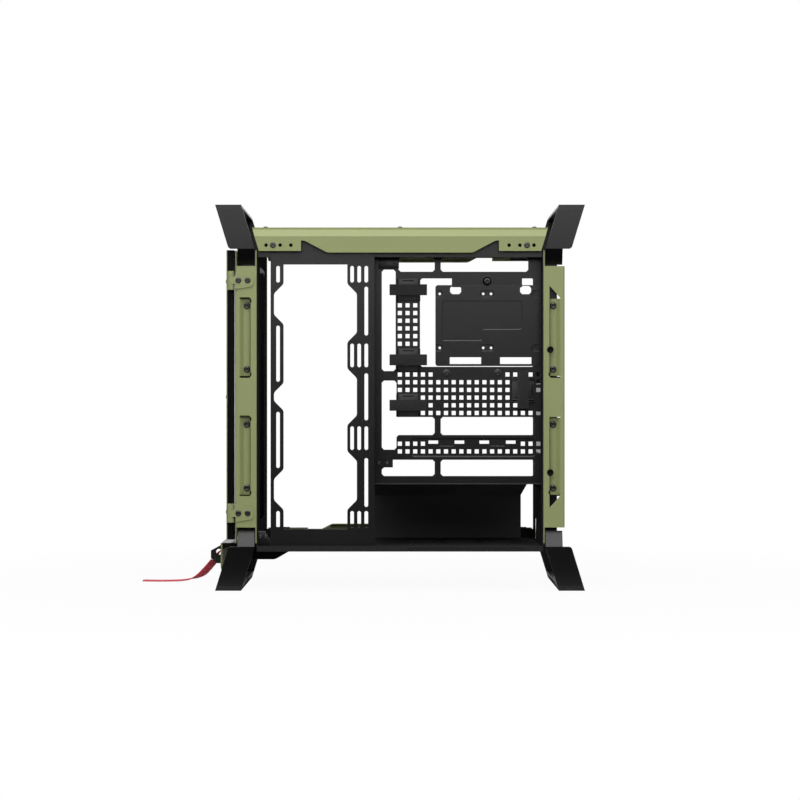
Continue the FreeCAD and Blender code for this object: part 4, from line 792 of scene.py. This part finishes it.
def ring_edges(verts: Sequence[bmesh.types.BMVert]) -> list[bmesh.types.BMEdge]:
    """The edges between verts of one ring, in a fixed order."""
    own = set(verts)
    return list(dict.fromkeys(edge for vert in verts for edge in vert.link_edges if edge.other_vert(vert) in own))


def new_verts(made: dict) -> list[bmesh.types.BMVert]:
    """The verts among what an extrusion has made."""
    return [item for item in made["geom"] if isinstance(item, bmesh.types.BMVert)]


def soften(bm: Shape, geom: Sequence, offset: float, segments: int, affect: str = "EDGES") -> dict:
    """Rounds edges, or corners where affect is VERTICES, and returns what the bevel made."""
    shape = {"segments": segments, "profile": 0.5, "affect": affect, "material": -1}
    return bmesh.ops.bevel(bm, geom=geom, offset=offset, **shape)


def turn_shape(bm: Shape, rings: Sequence[Ring], radius: float, height: float, to_place: Matrix) -> None:
    """Adds a closed shape that joins rings in order.

    Args:
        bm: Where the shape is added.
        rings: The rings from the seat to the last one, which is capped.
        radius: The radius that a ring's share of 1 means.
        height: The height that a ring's share of 1 means.
        to_place: Takes the shape from the origin to its place.
    """
    loops, added = [], []
    for index, ring in enumerate(rings):
        circle = bmesh.ops.create_circle(
            bm,
            cap_ends=index in (0, len(rings) - 1),
            segments=ring.sides,
            radius=ring.radius * radius,
            matrix=Matrix.Translation((0, 0, ring.height * height)),
        )
        loops.append(ring_edges(circle["verts"]))
        added.extend(circle["verts"])
    for below, above in zip(loops, loops[1:]):
        bmesh.ops.bridge_loops(bm, edges=below + above)
    bmesh.ops.transform(bm, matrix=to_place, verts=added)


def add_plate(bm: Shape, low: Vector, high: Vector, corner: float) -> None:
    """Adds a plate facing -Y with rounded corners and a softened front edge.

    Args:
        bm: Where the plate is added.
        low: Its lowest corner.
        high: Its highest corner.
        corner: The radius of its rounded corners.
    """
    made = bmesh.ops.create_cube(bm, size=1.0)["verts"]
    size = high - low
    bmesh.ops.scale(bm, vec=size, verts=made)
    bmesh.ops.translate(bm, vec=(low + high) / 2, verts=made)
    posts = [e for e in ring_edges(made) if abs((e.verts[0].co - e.verts[1].co).normalized().y) > FACING]
    near = dict.fromkeys(face for vert in soften(bm, posts, corner, 4)["verts"] for face in vert.link_faces)
    rim = [edge for face in near if face.normal.y < -FACING for edge in face.edges]
    soften(bm, rim, min(corner, size.y) * SOFT_SHARE, 2)


class Drive(Enum):
    """The shapes of turned heads, by what their middle has."""

    HEX = (
        Ring(1, 0), Ring(1, 0.3), Ring(0.93, 0.62), Ring(0.8, 0.86), Ring(0.62, 1),
        Ring(0.47, 0.9, 6), Ring(0.44, 0.35, 6),
    )
    DIMPLE = (
        Ring(1, 0), Ring(1, 0.75), Ring(0.9, 0.94), Ring(0.6, 1), Ring(0.52, 0.8), Ring(0.3, 0.7), Ring(0.18, 0.4),
    )
    KNURL = (
        Ring(0.86, 0, 24), Ring(1, 0.12, 24), Ring(1, 0.8, 24), Ring(0.88, 0.95, 24), Ring(0.5, 1, 24),
        Ring(0.42, 0.8, 6), Ring(0.4, 0.4, 6),
    )
    COLLAR = (
        Ring(1, 0), Ring(1, 0.3), Ring(0.92, 0.45), Ring(0.62, 0.3), Ring(0.54, 0.9), Ring(0.48, 1),
        Ring(0.3, 0.9), Ring(0.24, 0.4),
    )
    DISH = (Ring(1, 0, 32), Ring(0.98, 0.7, 32), Ring(0.95, 1, 32), Ring(0.89, 0.8, 32), Ring(0.86, 0.2, 32))
    HOLE = (Ring(1, 0), Ring(1, 0.7), Ring(0.9, 1), Ring(0.8, 0.7), Ring(0.3, 0.5))


@dataclass
class Fasteners(Assembly):
    """Turned heads in place of the many-sided screws, catches and studs."""

    def heads(self, node: str, drive: Drive, outward: Optional[Vector] = None) -> None:
        """Replaces a node of fasteners by turned heads.

        Args:
            node: The CAD node.
            drive: The shape of their heads.
            outward: The way that the heads point; by default away from the middle of the case.
        """
        bm = bmesh.new()
        for box in self.cad.solids(node):
            axis = box.thin_axis
            way = outward or Vector([math.copysign(1, box.centre[i]) if i == axis else 0 for i in range(3)])
            seat = box.centre.copy()
            seat[axis] = box.low[axis] if way[axis] > 0 else box.high[axis]
            radius = max(box.size[i] for i in range(3) if i != axis) / 2
            turn_shape(bm, drive.value, radius, box.size[axis], turned_to(way, seat))
        finish = self.finishes.matt if drive is Drive.DIMPLE else self.finishes.steel
        add_piece(f"{node}_heads", bm, self.cad.body(node), finish, [node])

    def build(self) -> None:
        """Makes every group of fasteners."""
        for node in ("column_screws", "hinge_screws", "beam_screws"):
            self.heads(node, Drive.HEX)
        self.heads("door_screws", Drive.HEX, Vector((-1, 0, 0)))
        self.heads("slot_screws", Drive.KNURL, Vector((0, -1, 0)))
        self.heads("drive_plate_screw", Drive.KNURL, Vector((0, -1, 0)))
        self.heads("panel_catches", Drive.DIMPLE)
        self.heads("top_studs", Drive.DIMPLE, Vector((0, 0, 1)))


@dataclass
class TowStrap(Assembly):
    """The red webbing strap that hangs from the tow eye and lies on the ground."""

    width: float = 18 * MM
    gauge: float = 1.6 * MM
    middle: float = 44 * MM
    route: tuple[Point, ...] = (
        (-274.9, 30.8), (-283.1, 20.8), (-292, 11.5), (-304, 5), (-320, 1.8), (-340, 1.2), (-360, 1.05), (-380, 1.5),
    )
    twist: float = math.radians(31)
    twist_end: float = 50 * MM
    twist_hold: float = 1.6
    loop: tuple[Triple, ...] = (
        (-267.6, 39.6, 43.9), (-267.6, 46, 43.9), (-267.4, 50.6, 44.2), (-271.5, 50.4, 37.5), (-274.6, 50.2, 32),
        (-277, 49.6, 28.5),
    )
    loop_width: float = 6.5 * MM
    loop_across: Triple = (0.84, 0, 0.54)
    columns: int = 6

    def line(self, points: Sequence[Vector]) -> list[Vector]:
        """Points read from a smooth NURBS line.

        Args:
            points: The line's control points.

        Returns:
            Points along the line, close together.
        """
        curve = bpy.data.curves.new("strap_line", "CURVE")
        curve.dimensions = "3D"
        spline = curve.splines.new("NURBS")
        spline.points.add(len(points) - 1)
        for point, place in zip(spline.points, points):
            point.co = (*place, 1)
        spline.order_u = 3
        spline.use_endpoint_u = True
        spline.resolution_u = 8
        item = linked("strap_line", curve)
        bpy.context.view_layer.update()
        mesh = bpy.data.meshes.new_from_object(item.evaluated_get(bpy.context.evaluated_depsgraph_get()))
        found = [vert.co.copy() for vert in mesh.vertices]
        bpy.data.objects.remove(item)
        bpy.data.curves.remove(curve)
        bpy.data.meshes.remove(mesh)
        return found

    def ribbon(self, path: Sequence[Vector], side: Vector, width: float, twist: float = 0.0) -> Shape:
        """A band along a path, with a UV map in metres across and along it.

        Args:
            path: The middle of the band.
            side: The way across the band.
            width: The band's width.
            twist: How far the band's first end is turned about its path; it fades along the band.

        Returns:
            The band without thickness.
        """
        bm = bmesh.new()
        chart = bm.loops.layers.uv.new("strap")
        shares = [step / self.columns - 0.5 for step in range(self.columns + 1)]
        row = [bm.verts.new(path[0] + side * width * share) for share in shares]
        axis, angle = path[1] - path[0], twist
        bmesh.ops.rotate(bm, verts=row, cent=path[0], matrix=Matrix.Rotation(angle, 3, axis))
        edges = [bm.edges.new(pair) for pair in zip(row, row[1:])]
        rows, runs = [row], [0.0]
        for before, place in zip(path, path[1:]):
            ahead = place - before
            new = new_verts(bmesh.ops.extrude_edge_only(bm, edges=edges))
            edges = ring_edges(new)
            ordered = []
            for old in rows[-1]:
                near = {edge.other_vert(old) for edge in old.link_edges}
                ordered.append(next(vert for vert in new if vert in near))
            bmesh.ops.translate(bm, verts=new, vec=ahead)
            bmesh.ops.rotate(bm, verts=new, cent=place, matrix=Matrix.Rotation(-angle, 3, axis))
            runs.append(runs[-1] + ahead.length)
            axis, angle = ahead, twist * self.fade(runs[-1])
            bmesh.ops.rotate(bm, verts=new, cent=place, matrix=Matrix.Rotation(angle, 3, axis))
            rows.append(ordered)
        places = {
            vert: ((share + 0.5) * width, run) for row, run in zip(rows, runs) for vert, share in zip(row, shares)
        }
        for face in bm.faces:
            for loop in face.loops:
                loop[chart].uv = places[loop.vert]
        return bm

    def fade(self, run: float) -> float:
        """The share of the twist that is left so far along the strap."""
        share = min(1.0, max(0.0, 1 - run / self.twist_end) * self.twist_hold)
        return share * share * (3 - 2 * share)

    def thicken(self, piece: bpy.types.Object) -> None:
        """Gives a band its thickness and rounded edges.

        Args:
            piece: The band.
        """
        solid = piece.modifiers.new("thickness", "SOLIDIFY")
        solid.thickness = self.gauge
        solid.offset = 0
        bevel = piece.modifiers.new("edges", "BEVEL")
        bevel.width = self.gauge * SOFT_SHARE
        bevel.segments = 2

    def build(self) -> None:
        """Makes the strap and the loop that holds it on the eye."""
        path = self.line([Vector((x * MM, self.middle, z * MM)) for x, z in self.route])
        band = self.ribbon(path, Vector((0, 1, 0)), self.width, self.twist)
        strap = add_piece("tow_webbing", band, "case", self.finishes.webbing, ["tow_strap"])
        self.thicken(strap)
        held = self.line([Vector(place) * MM for place in self.loop])
        band = self.ribbon(held, Vector(self.loop_across), self.loop_width)
        loop = add_piece("tow_loop", band, "case", self.finishes.webbing)
        self.thicken(loop)


@dataclass
class CableStraps(Assembly):
    """Strap bases with ribs under the straps, and the hook-and-loop straps that lie across them."""

    floor_share: float = 0.55
    rib: float = 3.8 * MM
    groove: float = 1.4 * MM
    bar: float = 1.2 * MM
    slit_length: float = 16 * MM
    slit_drop: float = 2.4 * MM
    inlay: float = 0.12 * MM
    corner: float = 1.6 * MM
    strap_corner: float = 0.8 * MM
    rib_corner: float = 0.24 * MM
    groove_corner: float = 0.12 * MM
    slit_corner: float = 0.48 * MM

    def strip(self, bm: Shape, box: Box, spans: dict[int, Point], corner: float) -> None:
        """Adds a plate that fills a base's box, apart from the axes with spans of their own.

        Args:
            bm: Where the plate is added.
            box: The base's place.
            spans: The two ends of the plate along some of the axes.
            corner: The radius of its corners.
        """
        low, high = box.low.copy(), box.high.copy()
        for axis, span in spans.items():
            low[axis], high[axis] = min(span), max(span)
        add_plate(bm, low, high, corner)

    def base(self, bm: Shape, dark: Shape, box: Box, along: int) -> None:
        """Adds a base: a thin plate, and at each end two ribs with a near-black strip of painted shade in the groove
        between them, and a strip of painted shade for its slit.

        Args:
            bm: Where the base is added.
            dark: Where the painted shade of its grooves and its slit is added.
            box: The base's place.
            along: The axis that the strap follows.
        """
        across = 2 - along
        face = box.high.y - box.size.y * self.floor_share
        self.strip(bm, box, {1: (face, box.high.y)}, self.corner)
        sunk = (face - self.inlay, face)
        for start, way in ((box.low[along], 1), (box.high[along], -1)):
            edges = [start + way * reach for reach in (0.0, self.bar, self.bar + self.groove, self.rib)]
            self.strip(bm, box, {along: (edges[0], edges[1])}, self.rib_corner)
            self.strip(bm, box, {along: (edges[2], edges[3])}, self.rib_corner)
            # Near-black strips sunk in the groove and in the slit are painted shade.
            self.strip(dark, box, {along: (edges[1], edges[2]), 1: sunk}, self.groove_corner)
        middle, top = box.centre[along], box.high[across] - self.slit_drop
        ends = (middle - self.slit_length / 2, middle + self.slit_length / 2)
        self.strip(dark, box, {along: ends, across: (top - self.bar, top), 1: sunk}, self.slit_corner)

    def build(self) -> None:
        """Makes the bases and the straps."""
        bases, dark, straps = bmesh.new(), bmesh.new(), bmesh.new()
        for base, strap in zip(self.cad.solids("strap_bases"), self.cad.solids("cable_straps")):
            self.base(bases, dark, base, 0 if strap.size.x > strap.size.z else 2)
            add_plate(straps, strap.low, strap.high, self.strap_corner)
        add_piece("strap_base_ribs", bases, "case", self.finishes.plastic, ["strap_bases"])
        # The near-black strips of the grooves and slit: painted shade.
        add_piece("strap_base_groove_shade", dark, "case", self.finishes.hole)
        add_piece("cable_strap_tapes", straps, "case", self.finishes.tape, ["cable_straps"])


@dataclass
class PocketSlitShade(Assembly):
    """Thin near-black plates on the columns that paint the shade of the narrow slits at the ends of the long pockets.
    """

    shape: tuple[Point, ...] = (
        (225.6, 413.0), (212.2, 413.0), (209.2, 409.6), (209.2, 405.6), (210.6, 405.6), (210.6, 409.2), (212.8, 411.4),
        (225.6, 411.4),
    )
    pocket_middle: float = 356.4
    case_middle: float = 273.2
    gauge: float = 0.12 * MM

    def build(self) -> None:
        """Makes the painted slit shade on all four columns."""
        bm = bmesh.new()
        for way, name in ((-1, "front"), (1, "rear")):
            for side, hand in ((-1, "right"), (1, "left")):
                box = self.cad.solids(f"{name}_{hand}_column")[0]
                face = box.low.y if side < 0 else box.high.y
                for flip, turn in ((1, 1), (-1, 1), (1, -1), (-1, -1)):
                    if way > 0 and flip * turn > 0:
                        continue
                    verts = []
                    for x, z in self.shape:
                        level = self.pocket_middle + flip * (z - self.pocket_middle)
                        level = self.case_middle + turn * (level - self.case_middle)
                        verts.append(bm.verts.new((way * x * MM, face, level * MM)))
                    front = new_verts(bmesh.ops.extrude_face_region(bm, geom=[bm.faces.new(verts)]))
                    bmesh.ops.translate(bm, verts=front, vec=(0, side * self.gauge, 0))
        # Near-black plates where the slits show only shade: painted shade.
        add_piece("pocket_slit_shade", bm, "case", self.finishes.hole)


@dataclass(frozen=True)
class Pocket:
    """A pressed area: its corners along and up in millimetres, and its other measures in metres."""

    corners: tuple[Point, ...]
    radius: float
    depth: float
    slope: float = 0.6 * MM

    @classmethod
    def rectangle(cls, along: Point, up: Point, radius: float, depth: float, slope: float = 0.6 * MM) -> Pocket:
        """A rectangle between two ends and two levels."""
        (start, end), (low, high) = along, up
        return cls(((start, low), (end, low), (end, high), (start, high)), radius, depth, slope)


@dataclass
class PressedSheets(Assembly):
    """The drive plate and the motherboard tray with their pressed areas."""

    lead: float = 0.3 * MM
    panel: Pocket = Pocket(
        ((59.7, 352.4), (117.0, 352.4), (117.0, 368.3), (173.2, 368.3), (173.2, 409.2), (59.7, 409.2)), 4 * MM, 0.4 * MM
    )
    dents: tuple[Point, ...] = ((40.0, 60.9), (113.5, 133.6), (186.4, 207.0))
    dent_levels: tuple[float, ...] = (342.5, 419.1)
    dent_half: float = 4.75
    dent_radius: float = 4.655 * MM
    dent_depth: float = 0.85 * MM
    tray_face: float = -92.0 * MM
    rail: Pocket = Pocket.rectangle((16.3, 191.6), (187.6, 214.5), 4 * MM, 0.45 * MM, 1.1 * MM)
    rail_dents: tuple[Point, ...] = ((55.0, 77.0), (127.2, 149.4))
    rail_dent_levels: Point = (202.6, 212.6)
    rail_dent_radius: float = 1 * MM
    rail_dent_depth: float = 0.8 * MM
    crease: float = 5.0

    def cutter(self, face: float, pocket: Pocket) -> bpy.types.Object:
        """The space that a pressed area takes from a sheet.

        Args:
            face: Where the sheet's front lies across the case.
            pocket: The area.

        Returns:
            A closed shape, to be taken away.
        """
        bm = bmesh.new()
        bm.faces.new([bm.verts.new((x * MM, face - self.lead, z * MM)) for x, z in pocket.corners])
        soften(bm, bm.verts[:], pocket.radius, 5, "VERTICES")
        made = bmesh.ops.extrude_face_region(bm, geom=bm.faces[:])["geom"]
        floor = next(item for item in made if isinstance(item, bmesh.types.BMFace))
        bmesh.ops.translate(bm, verts=floor.verts, vec=(0, self.lead, 0))
        bmesh.ops.inset_region(bm, faces=[floor], thickness=pocket.slope)
        bmesh.ops.translate(bm, verts=floor.verts, vec=(0, pocket.depth, 0))
        bmesh.ops.recalc_face_normals(bm, faces=bm.faces)
        return linked("pocket", mesh_of("pocket", bm))

    def press(self, node: str, material: Material, pockets: Sequence[Pocket], face: float) -> None:
        """Replaces a sheet by a copy with pressed areas.

        Args:
            node: The CAD node.
            material: The copy's finish.
            pockets: The areas.
            face: Where the sheet's front lies across the case.
        """
        bm = bmesh.new()
        bm.from_mesh(self.cad.nodes[node].data)
        bmesh.ops.remove_doubles(bm, verts=bm.verts, dist=WELD)
        sheet = linked("sheet", mesh_of("sheet", bm))
        cuts = [self.cutter(face, pocket) for pocket in pockets]
        for cut in cuts:
            press = sheet.modifiers.new("press", "BOOLEAN")
            press.operation = "DIFFERENCE"
            press.solver = "EXACT"
            press.object = cut
        ready = sheet.evaluated_get(bpy.context.evaluated_depsgraph_get())
        bm = bmesh.new()
        bm.from_mesh(ready.to_mesh())
        ready.to_mesh_clear()
        for item in (sheet, *cuts):
            bpy.data.objects.remove(item)
        add_piece(f"{node}_pressed", bm, "case", material, [node], self.crease)

    def build(self) -> None:
        """Makes both sheets."""
        pockets = [self.panel]
        for level in self.dent_levels:
            levels = (level - self.dent_half, level + self.dent_half)
            for ends in self.dents:
                pockets.append(Pocket.rectangle(ends, levels, self.dent_radius, self.dent_depth))
        self.press("drive_plate", self.finishes.drive, pockets, self.cad.solids("drive_plate")[0].low.y)
        pockets = [self.rail]
        for ends in self.rail_dents:
            pockets.append(Pocket.rectangle(ends, self.rail_dent_levels, self.rail_dent_radius, self.rail_dent_depth))
        self.press("motherboard_tray", self.finishes.sheet, pockets, self.tray_face)


@dataclass
class TopControls(Assembly):
    """Rims on the buttons and tongues in the ports of the top panel."""

    rim_share: float = 0.72
    rim_height: float = 0.25 * MM
    tongue_share: float = 0.72
    tongue_gauge: float = 1.6 * MM
    tongue_inset: float = 1.2 * MM
    tongue_part: float = 0.3
    tongue_corner: float = 0.4
    port_ratio: float = 1.5

    def build(self) -> None:
        """Makes the rims and the tongues."""
        for name in ("power_button", "reset_button"):
            bm = bmesh.new()
            box = self.cad.solids(name)[0]
            seat = Vector((box.centre.x, box.centre.y, box.high.z))
            radius = box.size.x / 2 * self.rim_share
            turn_shape(bm, Drive.DISH.value, radius, self.rim_height, Matrix.Translation(seat))
            add_piece(f"{name}_rim", bm, name, self.finishes.steel)
        bm = bmesh.new()
        for box in self.cad.solids("top_ports"):
            if box.size.x < box.size.y * self.port_ratio:
                continue
            reach = box.size.x / 2 * self.tongue_share
            gauge = min(self.tongue_gauge, box.size.y * self.tongue_part) / 2
            low = Vector((box.centre.x - reach, box.centre.y - gauge, box.low.z + self.tongue_inset))
            high = Vector((box.centre.x + reach, box.centre.y + gauge, box.high.z - self.tongue_inset))
            add_plate(bm, low, high, gauge * self.tongue_corner)
        add_piece("port_tongues", bm, "case", self.finishes.plastic)


@dataclass
class SheetFittings(Assembly):
    """Stand-offs, rivets, a corner tab and a gusset on the inner sheets, a ring of painted shade under the drive
    plate's screw, and near-black discs of painted shade at the holes in the beams.
    """

    tray_face: float = -92.0 * MM
    gusset_face: float = -113.4 * MM
    gauge: float = 1.2 * MM
    stand_offs: tuple[Point, ...] = ((65.7, 306.9), (138.4, 306.9))
    stand_off_radius: float = 5.2 * MM
    stand_off_height: float = 1.4 * MM
    tray_rivets: tuple[Point, ...] = ((-29.7, 178.9), (-18.2, 178.9))
    tab_rivets: tuple[Point, ...] = ((-22.5, 463.4), (-8.0, 463.4))
    gusset_rivets: tuple[Point, ...] = ((-196.6, 76.3), (-189.4, 76.3))
    rivet_radius: float = 2.2 * MM
    rivet_height: float = 0.9 * MM
    shade_ring_radius: float = 6.3 * MM
    shade_ring_height: float = 0.4 * MM
    tab: tuple[Point, ...] = ((-30.5, 455), (-1.5, 455), (-1.5, 468.5), (-27, 468.5), (-30.5, 465))
    gusset: tuple[Point, ...] = (
        (-200.7, 61.2), (-183.2, 61.2), (-183.2, 70), (-190, 83.5), (-200.7, 83.5),
    )
    beam_hole_shades: tuple[float, ...] = (153.6, 168.7, 188.5)
    beam_level: float = 486.4
    hole_radius: float = 2.5 * MM
    hole_height: float = 0.2 * MM

    def outline(self, bm: Shape, corners: Sequence[Point], face: float) -> None:
        """Adds a plate from its corners, softened along its front edge.

        Args:
            bm: Where the plate is added.
            corners: Its corners along and up, in millimetres.
            face: Where its back lies across the case.
        """
        sheet = bm.faces.new([bm.verts.new((x * MM, face, z * MM)) for x, z in corners])
        front = new_verts(bmesh.ops.extrude_face_region(bm, geom=[sheet]))
        bmesh.ops.translate(bm, verts=front, vec=(0, -self.gauge, 0))
        soften(bm, ring_edges(front), self.gauge * SOFT_SHARE, 2)

    def places(self, points: Sequence[Point], face: float) -> list[Vector]:
        """Points along and up, in millimetres, on a face across the case."""
        return [Vector((x * MM, face, z * MM)) for x, z in points]

    def turned(self, shape: Drive, places: Sequence[Vector], radius: float, height: float) -> Shape:
        """Turned parts that point away from the middle of the case.

        Args:
            shape: Their rings.
            places: Their seats.
            radius: Their radius.
            height: Their height.

        Returns:
            All of them in one bmesh.
        """
        bm = bmesh.new()
        for place in places:
            outward = Vector((0, math.copysign(1, place.y), 0))
            turn_shape(bm, shape.value, radius, height, turned_to(outward, place))
        return bm

    def build(self) -> None:
        """Makes the fittings."""
        bm = bmesh.new()
        self.outline(bm, self.tab, self.tray_face)
        self.outline(bm, self.gusset, self.gusset_face + self.gauge)
        add_piece("sheet_plates", bm, "case", self.finishes.sheet)
        places = self.places(self.stand_offs, self.tray_face)
        bm = self.turned(Drive.COLLAR, places, self.stand_off_radius, self.stand_off_height)
        add_piece("tray_stand_offs", bm, "case", self.finishes.steel)
        places = self.places(self.tray_rivets, self.tray_face)
        places += self.places(self.tab_rivets, self.tray_face - self.gauge)
        places += self.places(self.gusset_rivets, self.gusset_face)
        bm = self.turned(Drive.DIMPLE, places, self.rivet_radius, self.rivet_height)
        add_piece("sheet_rivets", bm, "case", self.finishes.steel)
        # A near-black dished ring under the drive plate's screw is painted shade.
        screw = self.cad.solids("drive_plate_screw")[0]
        seat = Vector((screw.centre.x, screw.high.y, screw.centre.z))
        bm = self.turned(Drive.HOLE, [seat], self.shade_ring_radius, self.shade_ring_height)
        add_piece("drive_screw_shade_ring", bm, "case", self.finishes.hole)
        # Near-black discs on the beams where their holes are stand for the shade in them: painted shade.
        half = self.cad.nodes["right_top_beam"].bound_box[0][1]
        places = [
            Vector((x * way * MM, half * side, self.beam_level * MM))
            for x in self.beam_hole_shades for way in (-1, 1) for side in (-1, 1)
        ]
        bm = self.turned(Drive.HOLE, places, self.hole_radius, self.hole_height)
        add_piece("beam_hole_shades", bm, "case", self.finishes.hole)


@dataclass(frozen=True)
class Lamp:
    """A soft rectangular lamp, in metres and watts."""

    name: str
    place: Triple
    size: Point
    power: float


@dataclass
class Studio:
    """The camera, lights, floor and background."""

    distance: float = 3.308
    height: float = 0.2713
    lens: float = 101.96
    sensor: float = 36.0
    rise: float = -0.0025
    floor_half: float = 14.0
    floor_white: float = 0.95
    floor_grey: Colour = (0.55, 0.55, 0.55)
    fade_start: float = 0.5
    fade_width: float = 0.5
    ambient: float = 0.3
    dark: float = 0.01
    behind_start: float = -0.3
    behind_rate: float = 2
    front_rate: float = 4
    aim: Triple = (0, 0, 0.28)
    lamps: tuple[Lamp, ...] = (
        Lamp("front", (0, -1.25, 1.0), (2.2, 0.95), 10),
        Lamp("key", (-0.3, -1.0, 2.8), (2.4, 2.4), 70),
        Lamp("back", (0.4, 2.2, 2.0), (2.0, 2.0), 22),
    )

    def camera(self) -> None:
        """Adds a camera that looks at the right side of the case, as the photograph does."""
        data = bpy.data.cameras.new("camera")
        data.lens, data.sensor_width = self.lens, self.sensor
        data.shift_y = self.rise
        data.clip_end = 100
        item = linked("camera", data)
        level = Matrix.Rotation(math.pi / 2, 4, "X")
        item.matrix_world = Matrix.Translation((0, -self.distance, self.height)) @ level
        bpy.context.scene.camera = item

    def light(self, lamp: Lamp) -> None:
        """Adds a lamp that faces the case.

        Args:
            lamp: Its place, size and power.
        """
        data = bpy.data.lights.new(lamp.name, "AREA")
        data.shape = "RECTANGLE"
        data.size, data.size_y = lamp.size
        data.energy = lamp.power
        item = linked(lamp.name, data)
        item.location = lamp.place
        item.rotation_euler = (Vector(self.aim) - Vector(lamp.place)).to_track_quat("-Z", "Y").to_euler()

    def background(self) -> None:
        """White to the camera and glass, white to gloss behind the case, and soft grey light elsewhere."""
        world = bpy.data.worlds.new("studio")
        bpy.context.scene.world = world
        graph = Graph(world)
        camera, gloss, glass = graph.rays()
        _, depth, _ = graph.parts(graph.node("ShaderNodeTexCoord").outputs["Generated"])
        behind = ((depth - self.behind_start) * self.behind_rate).clamped()
        white = camera.most(glass).most(gloss * behind)
        level = white + (1 - white) * (self.ambient - gloss * (self.ambient - self.dark))
        light = graph.node("ShaderNodeBackground", None, {"Color": (1, 1, 1, 1), "Strength": level})
        graph.node("ShaderNodeOutputWorld", None, {"Surface": light.outputs[0]})

    def floor(self) -> None:
        """A pale floor that keeps a faint shadow, runs out to white and is dark to gloss in front."""
        bm = bmesh.new()
        bmesh.ops.create_grid(bm, x_segments=1, y_segments=1, size=self.floor_half)
        item = linked("floor", mesh_of("floor", bm))
        graph = Graph.of_material("pale_floor")
        diffuse = graph.node("ShaderNodeBsdfDiffuse", None, {"Color": opaque(self.floor_grey)})
        camera, gloss, glass = graph.rays()
        along, across, _ = graph.parts(graph.place())
        far = (((along ** 2 + across ** 2) ** 0.5 - self.fade_start) / self.fade_width).clamped()
        front = (across * -self.front_rate).clamped() * gloss
        seen = camera * (far * (1 - self.floor_white) + self.floor_white)
        share = seen.most(gloss.most(glass) * far).most(front)
        glow = graph.node("ShaderNodeEmission", None, {"Color": (1, 1, 1, 1), "Strength": 1 - front})
        mix = graph.node("ShaderNodeMixShader", None, {0: share, 1: diffuse.outputs[0], 2: glow.outputs[0]})
        graph.node("ShaderNodeOutputMaterial", None, {"Surface": mix.outputs[0]})
        item.data.materials.append(graph.owner)
        item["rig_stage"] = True

    def build(self) -> None:
        """Sets up the view and the light."""
        bpy.context.scene.view_settings.view_transform = "Standard"
        self.camera()
        self.background()
        self.floor()
        for lamp in self.lamps:
            self.light(lamp)


def main() -> None:
    """Builds the studio, dresses the CAD nodes and builds each group of pieces."""
    logging.basicConfig(level=logging.INFO)
    cad = CadFrame()
    finishes = Finishes()
    Studio().build()
    cad.dress(finishes)
    for group in (TowStrap, Fasteners, CableStraps, PocketSlitShade, PressedSheets, TopControls, SheetFittings):
        group(cad, finishes).build()


if __name__ == "__main__":
    main()
